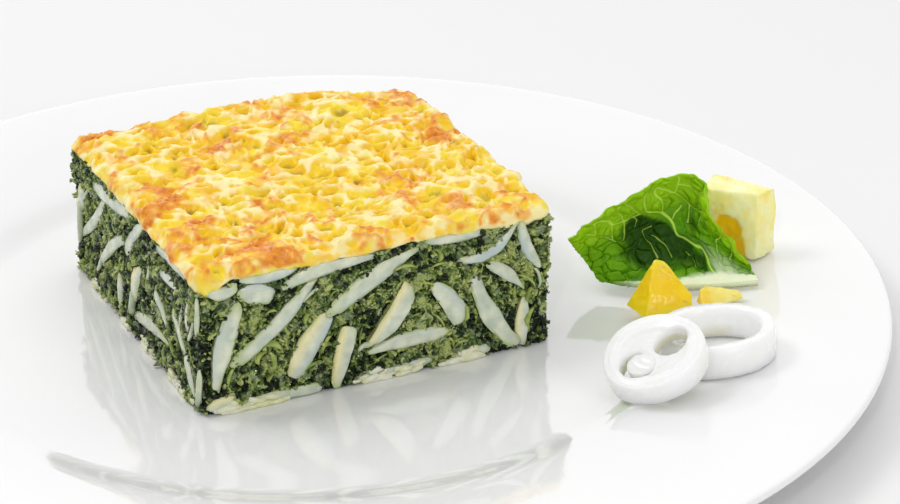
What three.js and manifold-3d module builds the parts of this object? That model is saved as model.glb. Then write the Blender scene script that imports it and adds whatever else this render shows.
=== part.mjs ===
// A square portion of potato and spinach bake on a round rimmed porcelain plate, with a lettuce leaf,
// three chunks of cheese and two rings of onion beside it. Millimetres, +Z up. The origin is the middle of
// the plate at table height, and the two cut sides of the bake that show best face -Y and -X.
import * as THREE from "three";
import { ConvexGeometry } from "three/addons/geometries/ConvexGeometry.js";
import { mergeVertices } from "three/addons/utils/BufferGeometryUtils.js";
import Module from "manifold-3d";

const wasm = await Module();
wasm.setup();

// Driving dimensions of the plate
const PLATE_RADIUS = 150;
const SHOULDER_RADIUS = 100;
const WELL_RADIUS = 88;
const FOOT_RADIUS = 91;
const FOOT_WIDTH = 5;
const FLOOR_Z = 6;
const SHOULDER_Z = 8.6;
const RIM_Z = 12.2;
const BASE_THICKNESS = 4.2;
const PLATE_SEGMENTS = 48;

// Driving dimensions of the bake
const BAKE_SIDE = 94.5;
const BAKE_X = 4;
const BAKE_Y = 8;
const FILLING_HEIGHT = 35.4;
const CRUST_HEIGHT = 38.6;
const HALF = BAKE_SIDE / 2;

// Drops of the topping: at the sunken far corner, at the left one, and of its underside at the near one
const SAGGING_CORNER = 4.6;
const SAG_REACH = 26;
const LEFT_DROP = 1.2;
const HANGING_CORNER = 2.4;

// Pits between the melted shreds of the topping, and the steps each way of the grid that shapes it
const PIT_SPACING = 6.4;
const PIT_RADIUS = 3.2;
const PIT_DEPTH = 2.3;
const CRUST_STEPS = 28;

// Crags in the cut sides of the chopped spinach: their mean size, and how far they stand in and out
const CRAG = 4.3;
const CRAG_IN = 0.75;
const CRAG_OUT = 0.55;
const CORNER_POWER = 18;

// Clearance kept between pieces that touch
const GAP = 0.3;

// Driving dimensions of the garnish
const RING_RADIUS = 14.4;
const RING_WALL = 3.7;
const RING_HEIGHT = 8.4;
const SLICE_RADIUS = 12.6;
const SLICE_WALL = 2.6;
const SLICE_HEIGHT = 6.2;
const LEAF_THICKNESS = 0.9;
const RIB_THICKNESS = 3;
const LEAF_CUP = 6;
const BLUNT = 0.7;

// A repeatable source of random numbers from 0 to 1.
function seeded(seed) {
  let state = seed;
  return () => {
    state = (state * 1664525 + 1013904223) % 4294967296;
    return state / 4294967296;
  };
}

const mix = (a, b, share) => a + (b - a) * share;

// An eased step from 0 to 1 as x goes from one value to another, either way.
function smooth(from, to, x) {
  const share = THREE.MathUtils.clamp((x - from) / (to - from), 0, 1);
  return share * share * (3 - 2 * share);
}

// A triangulated surface whose faces point out, from its corner points.
function surfaceOf(corners) {
  let volume = 0;
  for (let i = 0; i < corners.length; i += 3) {
    volume += corners[i].dot(new THREE.Vector3().crossVectors(corners[i + 1], corners[i + 2]));
  }
  if (volume < 0) {
    for (let i = 0; i < corners.length; i += 3) {
      [corners[i + 1], corners[i + 2]] = [corners[i + 2], corners[i + 1]];
    }
  }
  return new THREE.BufferGeometry().setFromPoints(corners);
}

// The triangles that close a ring of points, each as three points of the ring.
function capOf(ring) {
  const normal = new THREE.Vector3();
  ring.forEach((p, i) => normal.add(new THREE.Vector3().crossVectors(p, ring[(i + 1) % ring.length])));
  normal.normalize();
  const across = new THREE.Vector3(0.31, 0.52, 0.79).cross(normal).normalize();
  const along = new THREE.Vector3().crossVectors(normal, across);
  const flat = ring.map((p) => new THREE.Vector2(p.dot(across), p.dot(along)));
  return THREE.ShapeUtils.triangulateShape(flat, []).flat().map((i) => ring[i]);
}

// A closed body through rings of points, each ring with the same number of points.
function loft(rings) {
  const corners = [];
  for (let j = 0; j + 1 < rings.length; j++) {
    const count = rings[j].length;
    for (let i = 0; i < count; i++) {
      const next = (i + 1) % count;
      corners.push(rings[j][i], rings[j][next], rings[j + 1][next]);
      corners.push(rings[j][i], rings[j + 1][next], rings[j + 1][i]);
    }
  }
  const first = capOf(rings[0]);
  for (let i = 0; i < first.length; i += 3) corners.push(first[i + 1], first[i], first[i + 2]);
  corners.push(...capOf(rings.at(-1)));
  return surfaceOf(corners.map((p) => p.clone()));
}

// A turned body about the Z axis from a profile of [radius, height] pairs.
function turned(profile, segments) {
  const points = profile.map(([radius, height]) => new THREE.Vector2(radius, height));
  const lathe = new THREE.LatheGeometry(points, segments).rotateX(Math.PI / 2).toNonIndexed();
  const position = lathe.getAttribute("position");
  const corners = [];
  for (let i = 0; i < position.count; i++) {
    corners.push(new THREE.Vector3().fromBufferAttribute(position, i));
  }
  return surfaceOf(corners);
}

// Geometry to a solid that can be cut and joined, and back.
function solidOf(geometry) {
  const bare = geometry.index ? geometry.toNonIndexed() : geometry.clone();
  for (const name of ["normal", "uv"]) bare.deleteAttribute(name);
  const merged = mergeVertices(bare, 1e-4);
  return new wasm.Manifold(
    new wasm.Mesh({
      numProp: 3,
      vertProperties: merged.getAttribute("position").array,
      triVerts: new Uint32Array(merged.index.array),
    }),
  );
}

function geometryOf(solid) {
  const mesh = solid.getMesh();
  const geometry = new THREE.BufferGeometry();
  geometry.setAttribute("position", new THREE.BufferAttribute(mesh.vertProperties, 3));
  geometry.setIndex(new THREE.BufferAttribute(mesh.triVerts, 1));
  return geometry;
}

// The largest body of a solid that cutting may have split.
function largest(solid) {
  const bodies = solid.decompose();
  return bodies.reduce((a, b) => (b.volume() > a.volume() ? b : a));
}

const material = (color, roughness) => new THREE.MeshStandardMaterial({ color, roughness, metalness: 0 });
const PORCELAIN = material(0xf2f2f0, 0.15);
const CRUST = material(0xf2c447, 0.45);
const SPINACH = material(0x2f4a1c, 0.4);
const POTATO = material(0xdfe3cf, 0.4);
const LETTUCE = material(0x5f9a1c, 0.35);
const CHEESE = material(0xf6d34a, 0.4);
const ONION = material(0xf4f4ee, 0.25);

const part = new THREE.Group();

function add(name, geometry, finish) {
  const mesh = new THREE.Mesh(geometry, finish);
  mesh.name = name;
  part.add(mesh);
  return mesh;
}

// The plate: a flat well, a short slope up to a crisp shoulder, a wide rim that rises slightly, and a foot.
const EDGE_ROUNDING = 1.2;
const WELL_SLOPE = [0.3, 0.68].map((share) => [
  mix(WELL_RADIUS, SHOULDER_RADIUS, share),
  mix(FLOOR_Z, SHOULDER_Z, smooth(0, 1.12, share)),
]);

const PLATE_PROFILE = [
  [0, FLOOR_Z],
  [WELL_RADIUS, FLOOR_Z],
  ...WELL_SLOPE,
  [SHOULDER_RADIUS, SHOULDER_Z],
  [mix(SHOULDER_RADIUS, PLATE_RADIUS, 0.5), mix(SHOULDER_Z, RIM_Z, 0.5)],
  [PLATE_RADIUS - EDGE_ROUNDING, RIM_Z],
  [PLATE_RADIUS, RIM_Z - EDGE_ROUNDING],
  [PLATE_RADIUS - EDGE_ROUNDING, RIM_Z - 2 * EDGE_ROUNDING],
  [mix(SHOULDER_RADIUS, PLATE_RADIUS, 0.4), FLOOR_Z + 0.4],
  [FOOT_RADIUS + FOOT_WIDTH + 2, FLOOR_Z - 2.8],
  [FOOT_RADIUS + FOOT_WIDTH / 2, 0],
  [FOOT_RADIUS - FOOT_WIDTH / 2, 0],
  [FOOT_RADIUS - FOOT_WIDTH, FLOOR_Z - BASE_THICKNESS],
  [0, FLOOR_Z - BASE_THICKNESS],
];
add("plate", turned(PLATE_PROFILE, PLATE_SEGMENTS), PORCELAIN);

// The four cut sides of the bake. Each has a corner where u is 0, the way that u runs, and the way in.
const SIDES = {
  front: { corner: [-HALF, -HALF], run: [1, 0], inward: [0, 1] },
  left: { corner: [-HALF, -HALF], run: [0, 1], inward: [1, 0] },
  right: { corner: [HALF, -HALF], run: [0, 1], inward: [-1, 0] },
  back: { corner: [-HALF, HALF], run: [1, 0], inward: [0, -1] },
};

// A point of a side: u along it, height above the plate's floor, and depth into the bake.
function onSide(side, u, height, depth) {
  const { corner, run, inward } = SIDES[side];
  return new THREE.Vector3(
    BAKE_X + corner[0] + run[0] * u + inward[0] * depth,
    BAKE_Y + corner[1] + run[1] * u + inward[1] * depth,
    FLOOR_Z + height,
  );
}

// Potato slices as the two sides that show cut them: u and height of the middle, slope in degrees, length,
// thickness, and how far the slice bows. Each is a half moon that runs on into the filling.
const FRONT_SLICES = [
  [6, 17.5, 73, 24, 5, 0.4],
  [4.4, 2.7, 8, 8.4, 4.2, 0],
  [5.6, 33, 2, 8, 3.8, -0.5],
  [14.8, 30.6, -14, 9.5, 5, 0],
  [18.5, 35, 4, 16, 3, -0.6],
  [34, 33.2, 7, 25, 3.8, 0.7],
  [20.3, 22.4, 41, 30, 4.2, -0.7],
  [45.6, 27.8, 28, 27, 5, 0.5],
  [28.6, 13.8, 56, 19, 5.6, 0.4],
  [37, 8.4, 75, 16.5, 5, 0],
  [50.6, 17, 53, 19, 5.4, -1.1],
  [54.5, 8.9, 3, 23, 4.2, 0.5],
  [66, 17.4, -56, 15, 6, 0.4],
  [78.4, 11.6, -61, 25, 4.8, -0.8],
  [86.7, 7.4, 86, 13.4, 3.8, 0],
  [82, 21.8, -42, 13, 3.4, 0.3],
  [77.6, 30.4, 24, 18, 3, -1.6],
  [88.4, 28.6, -69, 15, 3.6, -0.6],
  [67.5, 35, -2, 16, 3, -0.4],
  [22, 1.8, -2, 20, 2.8, 0],
  [53, 1.9, 3, 17, 2.8, 0],
  [72, 1.9, 4, 11, 2.8, 0],
];
const LEFT_SLICES = [
  [19, 34.2, -2, 22, 3, 0.3],
  [20, 28.4, -6, 16, 3, 0],
  [46, 29.2, -42, 21, 3.8, 0.6],
  [46.4, 16.4, -60, 14, 5.6, 0.9],
  [37, 8, -8, 24, 4, 0.5],
  [63, 32.4, -6, 29, 4.2, -0.5],
  [66, 17, -38, 29, 3.8, 0.7],
  [60.2, 6.6, -84, 12, 3.6, 0],
  [80.5, 19.4, -40, 31, 3.8, -0.6],
  [90, 21, -62, 12, 4.6, 0],
  [15.4, 16.4, 52, 11, 3.8, 0],
  [28, 17.2, 38, 10, 4, 0.3],
  [8.6, 7.4, 56, 11, 3.6, 0],
  [8, 24.6, -72, 10, 3, 0.3],
];

// The two sides that don't show are filled by the same rule: slices in leaning rows, each one its own draw.
function scatteredSlices(seed) {
  const random = seeded(seed);
  const slices = [];
  const rows = [5, 17.5, 30];
  rows.forEach((height, row) => {
    const count = row === 1 ? 3 : 2;
    for (let i = 0; i < count; i++) {
      const u = (BAKE_SIDE * (i + 0.5)) / count + mix(-4, 4, random());
      const steep = row === 1 ? mix(35, 62, random()) : mix(4, 22, random());
      const lean = random() < 0.5 ? steep : -steep;
      const middle = height + mix(-1, 1, random());
      slices.push([u, middle, lean, mix(17, 25, random()), mix(3.4, 5, random()), 0.5]);
    }
  });
  return slices;
}

// The outline of a slice at a depth, or of the pocket that it sits in when grow is the clearance. It is an
// oval with blunt ends and flat faces, and it narrows inwards.
const SLICE_POINTS = 10;
const SLICE_START = -1.5;
const SLICE_DEPTH = 9;
const SLICE_NARROWING = 0.8;
const BLUNT_ENDS = 0.7;
const FLAT_FACES = 0.75;

function powered(value, power) {
  return Math.sign(value) * Math.abs(value) ** power;
}

function sliceRing(side, [u, height, slope, length, thickness, bow], depth, grow) {
  const ring = [];
  const angle = THREE.MathUtils.degToRad(slope);
  const narrowing = depth <= 0 || grow > 0 ? 1 : SLICE_NARROWING;
  const half = (length / 2) * narrowing + grow;
  for (let i = 0; i < SLICE_POINTS; i++) {
    const turn = (2 * Math.PI * (i + 0.5)) / SLICE_POINTS;
    const along = powered(Math.cos(turn), BLUNT_ENDS) * half;
    const bend = bow * (1 - 2 * (along / (length / 2)) ** 2);
    const across = powered(Math.sin(turn), FLAT_FACES) * (thickness / 2 + grow) + bend;
    ring.push(
      onSide(
        side,
        u + along * Math.cos(angle) - across * Math.sin(angle),
        height + along * Math.sin(angle) + across * Math.cos(angle),
        depth,
      ),
    );
  }
  return ring;
}

function sliceSolid(side, slice, grow) {
  const depths = [SLICE_START, SLICE_DEPTH + grow];
  return solidOf(loft(depths.map((depth) => sliceRing(side, slice, depth, grow))));
}

// The underside of the baked topping, which hangs lower at the near corner and has sunk at the far one.
const UNDER_STEPS = 9;
const LID_TOP = 60;

function undersideHeight(x, y) {
  const near = smooth(11, 2, Math.hypot(x + HALF, y + HALF)) * HANGING_CORNER;
  const far = smooth(SAG_REACH, 0, Math.hypot(x - HALF, y - HALF)) * SAGGING_CORNER;
  return FILLING_HEIGHT + 0.4 * Math.sin(x * 0.13) - near - far;
}

// A row of points under the topping, from high x to low x.
function undersideRow(y, reach, drop) {
  return Array.from({ length: UNDER_STEPS + 1 }, (_, i) => {
    const x = mix(HALF, -HALF, i / UNDER_STEPS);
    return new THREE.Vector3(BAKE_X + x * reach, BAKE_Y + y * reach, FLOOR_Z + undersideHeight(x, y) - drop);
  });
}

// Everything above the filling, which the filling and the slices give way to.
function lid() {
  const rings = Array.from({ length: CRUST_STEPS + 1 }, (_, row) => {
    const y = mix(-HALF, HALF, row / CRUST_STEPS);
    const under = undersideRow(y, 1, GAP);
    const over = [under.at(-1), under[0]].map((p) => new THREE.Vector3(p.x, p.y, LID_TOP));
    return [...under, ...over];
  });
  return solidOf(loft(rings));
}

// What the filling and the slices may fill: the bake's square, from just above the plate to the topping.
const room = solidOf(
  new THREE.BoxGeometry(BAKE_SIDE - 0.2, BAKE_SIDE - 0.2, LID_TOP).translate(
    BAKE_X,
    BAKE_Y,
    FLOOR_Z + GAP + LID_TOP / 2,
  ),
).subtract(lid());

// Slices are laid one after another, and each gives way to those already there.
const sides = [
  ["front", FRONT_SLICES],
  ["left", LEFT_SLICES],
  ["right", scatteredSlices(11)],
  ["back", scatteredSlices(29)],
];
let pockets = null;
for (const [side, slices] of sides) {
  slices.forEach((slice, index) => {
    let solid = sliceSolid(side, slice, 0).intersect(room);
    if (pockets) solid = solid.subtract(pockets);
    const pocket = sliceSolid(side, slice, GAP);
    pockets = pockets ? pockets.add(pocket) : pocket;
    add(`potato_${side}_${index + 1}`, geometryOf(largest(solid).simplify(0.02)), POTATO);
  });
}

// The filling: chopped spinach in cream, a block with craggy sides, cut out round every slice.
const SIDE_STEPS = Math.round(BAKE_SIDE / CRAG);
const LEVELS = Math.round(FILLING_HEIGHT / CRAG);

function fillingRing(level, random) {
  const ring = [];
  const share = level / LEVELS;
  const belly = 0.5 * Math.cos(share * 7) - 0.9;
  for (let i = 0; i < 4 * SIDE_STEPS; i++) {
    const side = Math.floor(i / SIDE_STEPS);
    const along = ((i % SIDE_STEPS) / SIDE_STEPS) * 2 - 1;
    const [x, y] = [[along, -1], [1, along], [-along, 1], [-1, -along]][side];
    const rounded = (Math.abs(x) ** CORNER_POWER + Math.abs(y) ** CORNER_POWER) ** (-1 / CORNER_POWER);
    const reach = (HALF + belly + mix(-CRAG_IN, CRAG_OUT, random())) * rounded;
    const height = share * (FILLING_HEIGHT + 2);
    ring.push(new THREE.Vector3(BAKE_X + x * reach, BAKE_Y + y * reach, FLOOR_Z + height));
  }
  return ring;
}

const crags = seeded(3);
const core = solidOf(loft(Array.from({ length: LEVELS + 1 }, (_, level) => fillingRing(level, crags))));
add("spinach_filling", geometryOf(largest(core.intersect(room).subtract(pockets)).simplify(0.05)), SPINACH);

// The baked topping: melted shreds with pits between them, over the whole top, sunk at the far corner.
// Pits lie in jittered cells, so that their spacing is uneven but none is missing.
function pitAt(column, row) {
  const random = seeded(1 + (column + 40) * 977 + (row + 40) * 131);
  random();
  return [column, row].map((cell) => (cell + mix(0.15, 0.85, random())) * PIT_SPACING);
}

function crustHeight(x, y) {
  const column = Math.floor(x / PIT_SPACING);
  const row = Math.floor(y / PIT_SPACING);
  let nearest = Infinity;
  for (let i = -1; i <= 1; i++) {
    for (let j = -1; j <= 1; j++) {
      const [px, py] = pitAt(column + i, row + j);
      nearest = Math.min(nearest, Math.hypot(x - px, (y - py) * 1.15));
    }
  }
  const inside = smooth(HALF, HALF - 7, Math.max(Math.abs(x), Math.abs(y)));
  const pit = PIT_DEPTH * smooth(PIT_RADIUS, PIT_RADIUS / 4, nearest) * mix(0.35, 1, inside);
  const waves = 0.5 * Math.sin(x * 0.23 + y * 0.1) + 0.4 * Math.sin(y * 0.31 - x * 0.07);
  const far = smooth(SAG_REACH, 0, Math.hypot(x - HALF, y - HALF)) * SAGGING_CORNER;
  const left = smooth(SAG_REACH, 0, Math.hypot(x + HALF, y - HALF)) * LEFT_DROP;
  return CRUST_HEIGHT + 0.6 * inside + waves - pit - far - left;
}

function crustRing(row) {
  const share = row / CRUST_STEPS;
  const y = mix(-HALF, HALF, share);
  const random = seeded(71 + row);
  const ring = [];
  for (let i = 0; i <= CRUST_STEPS; i++) {
    const x = mix(-HALF, HALF, i / CRUST_STEPS);
    const ragged = mix(-0.45, 0.25, random());
    const edgeX = i === 0 || i === CRUST_STEPS ? ragged * Math.sign(x) : 0;
    const edgeY = row === 0 || row === CRUST_STEPS ? ragged * Math.sign(y) : 0;
    ring.push(new THREE.Vector3(BAKE_X + x + edgeX, BAKE_Y + y + edgeY, FLOOR_Z + crustHeight(x, y)));
  }
  return [...ring, ...undersideRow(y, 0.99, 0)];
}

const crustRings = Array.from({ length: CRUST_STEPS + 1 }, (_, row) => crustRing(row));
add("baked_crust", loft(crustRings), CRUST);

// A chunk of cheese: the hull of the points that a knife left, with slightly blunted corners.
function chunk(corners) {
  const centre = [0, 1, 2].map((axis) => corners.reduce((sum, p) => sum + p[axis], 0) / corners.length);
  const blunted = corners.flatMap((corner) =>
    [0, 1, 2].map((axis) => {
      const moved = [...corner];
      moved[axis] += BLUNT * Math.sign(centre[axis] - corner[axis]);
      return new THREE.Vector3(...moved);
    }),
  );
  return new ConvexGeometry(blunted);
}

// The block at the back, with the hollow in the face that looks at the leaf.
const block = solidOf(
  chunk([
    [105, -20.4, 10.2],
    [116.4, -29.2, 10.8],
    [123.8, -26.2, 11.3],
    [112.6, -11.8, 11],
    [105.4, -19.8, 30],
    [116.6, -28.8, 29.6],
    [123.6, -26, 29],
    [112, -12.4, 30.4],
  ]),
);
const hollow = solidOf(
  new THREE.SphereGeometry(1, 16, 10).scale(5, 3, 5.5).rotateZ(-0.6).translate(108.5, -26, 15.5),
);
add("cheese_block", geometryOf(largest(block.subtract(hollow))), CHEESE);

add(
  "cheese_wedge",
  chunk([
    [74.3, -34.8, 9.3],
    [75.2, -44.6, 9.3],
    [87.6, -46.2, 9.7],
    [86, -37.4, 9.6],
    [89.4, -43.2, 13.2],
    [82, -36.6, 21.7],
    [84.8, -36.6, 20.8],
  ]),
  CHEESE,
);

add(
  "cheese_chip",
  chunk([
    [90.6, -43, 10.2],
    [90.2, -47.6, 10.2],
    [102.8, -47.4, 10.8],
    [101, -43.4, 10.7],
    [91.4, -44, 14.6],
    [93.8, -42.8, 14.6],
    [102, -45.4, 12.4],
  ]),
  CHEESE,
);

// A closed band of onion: a rounded section swept round a slightly uneven circle in the XY plane.
const BAND_SEGMENTS = 32;

function onionBand(radius, wall, height, unevenness) {
  const section = [
    [-0.5, 0.12],
    [-0.36, 0],
    [0.36, 0],
    [0.5, 0.12],
    [0.5, 0.88],
    [0.36, 1],
    [-0.36, 1],
    [-0.5, 0.88],
  ];
  const sections = Array.from({ length: BAND_SEGMENTS }, (_, i) => {
    const angle = (2 * Math.PI * i) / BAND_SEGMENTS;
    const wobble = Math.cos(2 * angle + 0.6) + 0.4 * Math.cos(3 * angle);
    const middle = radius - wall / 2 + unevenness * wobble;
    return section.map(
      ([out, up]) =>
        new THREE.Vector3(
          (middle + out * wall) * Math.cos(angle),
          (middle + out * wall) * Math.sin(angle),
          up * height,
        ),
    );
  });
  const corners = [];
  sections.forEach((here, i) => {
    const there = sections[(i + 1) % BAND_SEGMENTS];
    here.forEach((p, k) => {
      const next = (k + 1) % here.length;
      corners.push(p, there[k], there[next], p, there[next], here[next]);
    });
  });
  return surfaceOf(corners.map((p) => p.clone()));
}

// A flat oval disc about the middle height of the front slice.
function disc(reachX, reachY, height, segments, x, y) {
  const round = new THREE.CylinderGeometry(1, 1, height, segments).rotateX(Math.PI / 2);
  return round.scale(reachX, reachY, 1).translate(x, y, SLICE_HEIGHT / 2);
}

// A solid laid with its own Z axis along a direction and its origin at a place.
function laid(geometry, direction, place) {
  const turn = new THREE.Quaternion().setFromUnitVectors(
    new THREE.Vector3(0, 0, 1),
    new THREE.Vector3(...direction).normalize(),
  );
  return geometry.applyQuaternion(turn).translate(...place);
}

// The back ring lies flat on the rim of the plate. The front slice leans on it. That one has two hearts:
// its outer layer, a web inside that leaves a hole, and a solid heart beside a crescent gap.
add(
  "onion_ring_back",
  laid(onionBand(RING_RADIUS, RING_WALL, RING_HEIGHT, 0.5), [-0.055, 0.047, 1], [81.7, -70.2, 9.6]),
  ONION,
);

const outer = solidOf(onionBand(SLICE_RADIUS, SLICE_WALL, SLICE_HEIGHT, 0.35));
const web = solidOf(disc(11, 11, 3.9, 20, 0, 0));
const hole = solidOf(disc(4.4, 3.7, 12, 16, 5.1, 0.2));
const heartGap = solidOf(disc(4.2, 4.4, 12, 14, -5, -0.5));
const heart = solidOf(disc(3.4, 3.5, 5.2, 14, -4.2, -0.6));
const doubleSlice = outer.add(web.subtract(hole).subtract(heartGap)).add(heart);
add(
  "onion_slice_front",
  laid(geometryOf(largest(doubleSlice)), [-0.401, -0.177, 0.899], [61.9, -76.8, 14]),
  ONION,
);

// The lettuce leaf stands on its pale rib and cups towards the near side, with its back to the cheese block.
const RIB_LINE = [
  [74.4, -20.5, 9.9],
  [82.6, -28.5, 10],
  [89, -33, 10.2],
  [96, -36.5, 10.5],
  [103, -39.5, 10.9],
  [109.6, -42.2, 11.4],
];
const LEAF_EDGE = [
  [68.4, -13.8, 20.4],
  [78.9, -12.4, 24.4],
  [85.6, -13.4, 28],
  [93.4, -15, 32],
  [99, -16.4, 34],
  [103.2, -18.4, 33.8],
  [105, -21.6, 31.8],
  [103, -25.6, 29.2],
  [102.7, -30, 25.8],
  [106.5, -34.9, 19.4],
  [109, -38, 15.2],
];
const LEAF_COLUMNS = 20;
const LEAF_ROWS = 10;
const LEAF_STEP = 0.01;
const ribCurve = new THREE.CatmullRomCurve3(RIB_LINE.map((p) => new THREE.Vector3(...p)));
const edgeCurve = new THREE.CatmullRomCurve3(LEAF_EDGE.map((p) => new THREE.Vector3(...p)));

function leafPoint(along, up) {
  const foot = ribCurve.getPointAt(along);
  const tip = edgeCurve.getPointAt(along);
  const point = foot.clone().lerp(tip, up);
  const back = LEAF_CUP * Math.sin(Math.PI * up) * Math.sin(Math.PI * mix(0.12, 0.94, along));
  const bubbles = 0.7 * Math.sin(along * 27) * Math.sin(up * 9.5 + 1) * smooth(0.05, 0.3, up);
  point.x += 0.25 * (back + bubbles);
  point.y += back + bubbles;
  return point;
}

function leafGeometry() {
  const faces = [1, -1].map((sign) =>
    Array.from({ length: LEAF_COLUMNS + 1 }, (_, i) =>
      Array.from({ length: LEAF_ROWS + 1 }, (_, j) => {
        const along = i / LEAF_COLUMNS;
        const up = j / LEAF_ROWS;
        const here = leafPoint(along, up);
        const [left, lower] = [along, up].map((x) => Math.max(0, x - LEAF_STEP));
        const [right, upper] = [along, up].map((x) => Math.min(1, x + LEAF_STEP));
        const sideways = leafPoint(right, up).sub(leafPoint(left, up));
        const upwards = leafPoint(along, upper).sub(leafPoint(along, lower));
        const normal = sideways.cross(upwards).normalize();
        const rib = smooth(0.22, 0.06, up) * smooth(0.05, 0.4, along);
        const half = mix(LEAF_THICKNESS, RIB_THICKNESS, rib) / 2;
        return here.addScaledVector(normal, sign * half);
      }),
    ),
  );
  const corners = [];
  const quad = (a, b, c, d) => corners.push(a, b, c, a, c, d);
  const [front, behind] = faces;
  for (let i = 0; i < LEAF_COLUMNS; i++) {
    for (let j = 0; j < LEAF_ROWS; j++) {
      quad(front[i][j], front[i + 1][j], front[i + 1][j + 1], front[i][j + 1]);
      quad(behind[i][j], behind[i][j + 1], behind[i + 1][j + 1], behind[i + 1][j]);
    }
    quad(behind[i][0], behind[i + 1][0], front[i + 1][0], front[i][0]);
    quad(front[i][LEAF_ROWS], front[i + 1][LEAF_ROWS], behind[i + 1][LEAF_ROWS], behind[i][LEAF_ROWS]);
  }
  for (let j = 0; j < LEAF_ROWS; j++) {
    quad(front[0][j], front[0][j + 1], behind[0][j + 1], behind[0][j]);
    const end = LEAF_COLUMNS;
    quad(behind[end][j], behind[end][j + 1], front[end][j + 1], front[end][j]);
  }
  return surfaceOf(corners.map((p) => p.clone()));
}

add("lettuce_leaf", leafGeometry(), LETTUCE);

export default part;
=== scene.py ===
# %% [markdown]
# # A plate of potato and spinach bake
# The real thing is a square cut from a tray: chopped spinach in a little cream, slices of potato
# that lie in it at every angle, and a lid of grated cheese that melted into a net of ridges and
# pits and caught some colour. It sits on a white rimmed plate beside a lettuce leaf, three
# chunks of cheese and two rings of onion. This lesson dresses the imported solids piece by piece.
# Sizes are in millimetres and are turned into metres when a mesh is finished.

# %% Load the frame
import itertools
import math

import bmesh
import bpy
import numpy as np
from mathutils import Matrix, Vector


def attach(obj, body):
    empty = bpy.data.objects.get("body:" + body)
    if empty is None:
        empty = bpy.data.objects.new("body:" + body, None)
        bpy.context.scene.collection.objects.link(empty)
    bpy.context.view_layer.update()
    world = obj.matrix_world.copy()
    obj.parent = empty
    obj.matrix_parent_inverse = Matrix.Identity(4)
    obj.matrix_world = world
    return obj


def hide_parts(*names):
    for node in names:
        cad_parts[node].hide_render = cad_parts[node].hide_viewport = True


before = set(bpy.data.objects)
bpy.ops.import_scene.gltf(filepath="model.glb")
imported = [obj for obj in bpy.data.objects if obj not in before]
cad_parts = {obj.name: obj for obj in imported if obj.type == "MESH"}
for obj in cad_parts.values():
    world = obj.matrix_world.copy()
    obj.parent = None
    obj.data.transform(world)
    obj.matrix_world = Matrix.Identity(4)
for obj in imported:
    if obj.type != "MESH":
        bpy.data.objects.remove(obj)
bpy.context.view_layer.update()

MM = 0.001
print("loaded", len(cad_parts), "nodes")

# %% [markdown]
# ## Sizes shared with the solids
# Each piece here stands exactly where its solid is, so the sizes that the solids were built
# from come first: the floor of the plate's well, and the square of the bake on it.

# %% Sizes of the plate and the bake
FLOOR_Z = 6.0
BAKE_X, BAKE_Y = 4.0, 8.0
BAKE_SIDE = 94.5
HALF = BAKE_SIDE / 2
FILLING_HEIGHT = 35.4
CRUST_HEIGHT = 38.6
SAGGING_CORNER, SAG_REACH = 4.6, 26.0
LEFT_DROP = 1.2
HANGING_CORNER = 2.4


def smooth(start, end, x):
    """An eased step from 0 to 1 as x goes from start to end, either way."""
    share = np.clip((x - start) / (end - start), 0, 1)
    return share * share * (3 - 2 * share)


def mix(a, b, share):
    return a + (b - a) * share


def sag(x, y):
    """How far the topping has sunk at the corner farthest from the camera."""
    return smooth(SAG_REACH, 0, np.hypot(x - HALF, y - HALF)) * SAGGING_CORNER


def underside(x, y):
    """Height of the topping's underside above the floor of the well."""
    near = smooth(11, 2, np.hypot(x + HALF, y + HALF)) * HANGING_CORNER
    return FILLING_HEIGHT + 0.4 * np.sin(x * 0.13) - near - sag(x, y)


print("bake", BAKE_SIDE, "mm square,", CRUST_HEIGHT, "mm tall")

# %% [markdown]
# ## Random numbers and noise
# Food is uneven, but this script has to give the same mesh each time it runs. Every random
# number comes from a numbered source. Noise is a table of random values that is read smoothly
# at any point, and cells are the distances to scattered seeds, good for lumps and pits.


# %% Noise and cells
TABLE = 32


def ripple(points, size, seed):
    """Smooth values from about -1 to 1 at points (n, 3), with bumps about size wide."""
    table = np.random.default_rng(seed).uniform(-1, 1, (TABLE,) * 3)
    scaled = np.asarray(points, float) / size
    cell = np.floor(scaled).astype(int)
    part = scaled - cell
    part = part * part * (3 - 2 * part)
    total = np.zeros(len(scaled))
    for corner in itertools.product((0, 1), repeat=3):
        at = (cell + corner) % TABLE
        weight = np.prod(np.where(corner, part, 1 - part), axis=1)
        total += weight * table[at[:, 0], at[:, 1], at[:, 2]]
    return total * 1.3


def rough(points, size, seed, octaves=3):
    """Ripples of several sizes, each half as wide and half as strong as the one before."""
    return sum(ripple(points, size / 2**k, seed + k) / 2**k for k in range(octaves))


def cells(points, size, seed):
    """Distances to the nearest and next nearest seed, in units of size, and a random value
    from 0 to 1 that belongs to the nearest seed."""
    table = np.random.default_rng(seed).uniform(0, 1, (TABLE, TABLE, TABLE, 4))
    scaled = np.asarray(points, float) / size
    cell = np.floor(scaled).astype(int)
    first = np.full(len(scaled), 9.0)
    second = first.copy()
    value = np.zeros(len(scaled))
    for step in itertools.product((-1, 0, 1), repeat=3):
        at = (cell + step) % TABLE
        drawn = table[at[:, 0], at[:, 1], at[:, 2]]
        away = np.linalg.norm(cell + step + drawn[:, :3] - scaled, axis=1)
        closer = away < first
        second = np.where(closer, first, np.minimum(second, away))
        value = np.where(closer, drawn[:, 3], value)
        first = np.where(closer, away, first)
    return first, second, value


def seeded(seed):
    """The same repeatable source of numbers from 0 to 1 that the solids were drawn with."""
    state = seed
    while True:
        state = (state * 1664525 + 1013904223) % 4294967296
        yield state / 4294967296


print("noise ready:", np.round(ripple(np.array([[1.0, 2.0, 3.0]]), 5, 1), 3))

# %% [markdown]
# ## Finishing a piece
# Every piece goes through the same last steps: its points become metres, its faces are shaded
# smooth, it gets its material, rides on the plate and hides the solid that it stands for.


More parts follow.
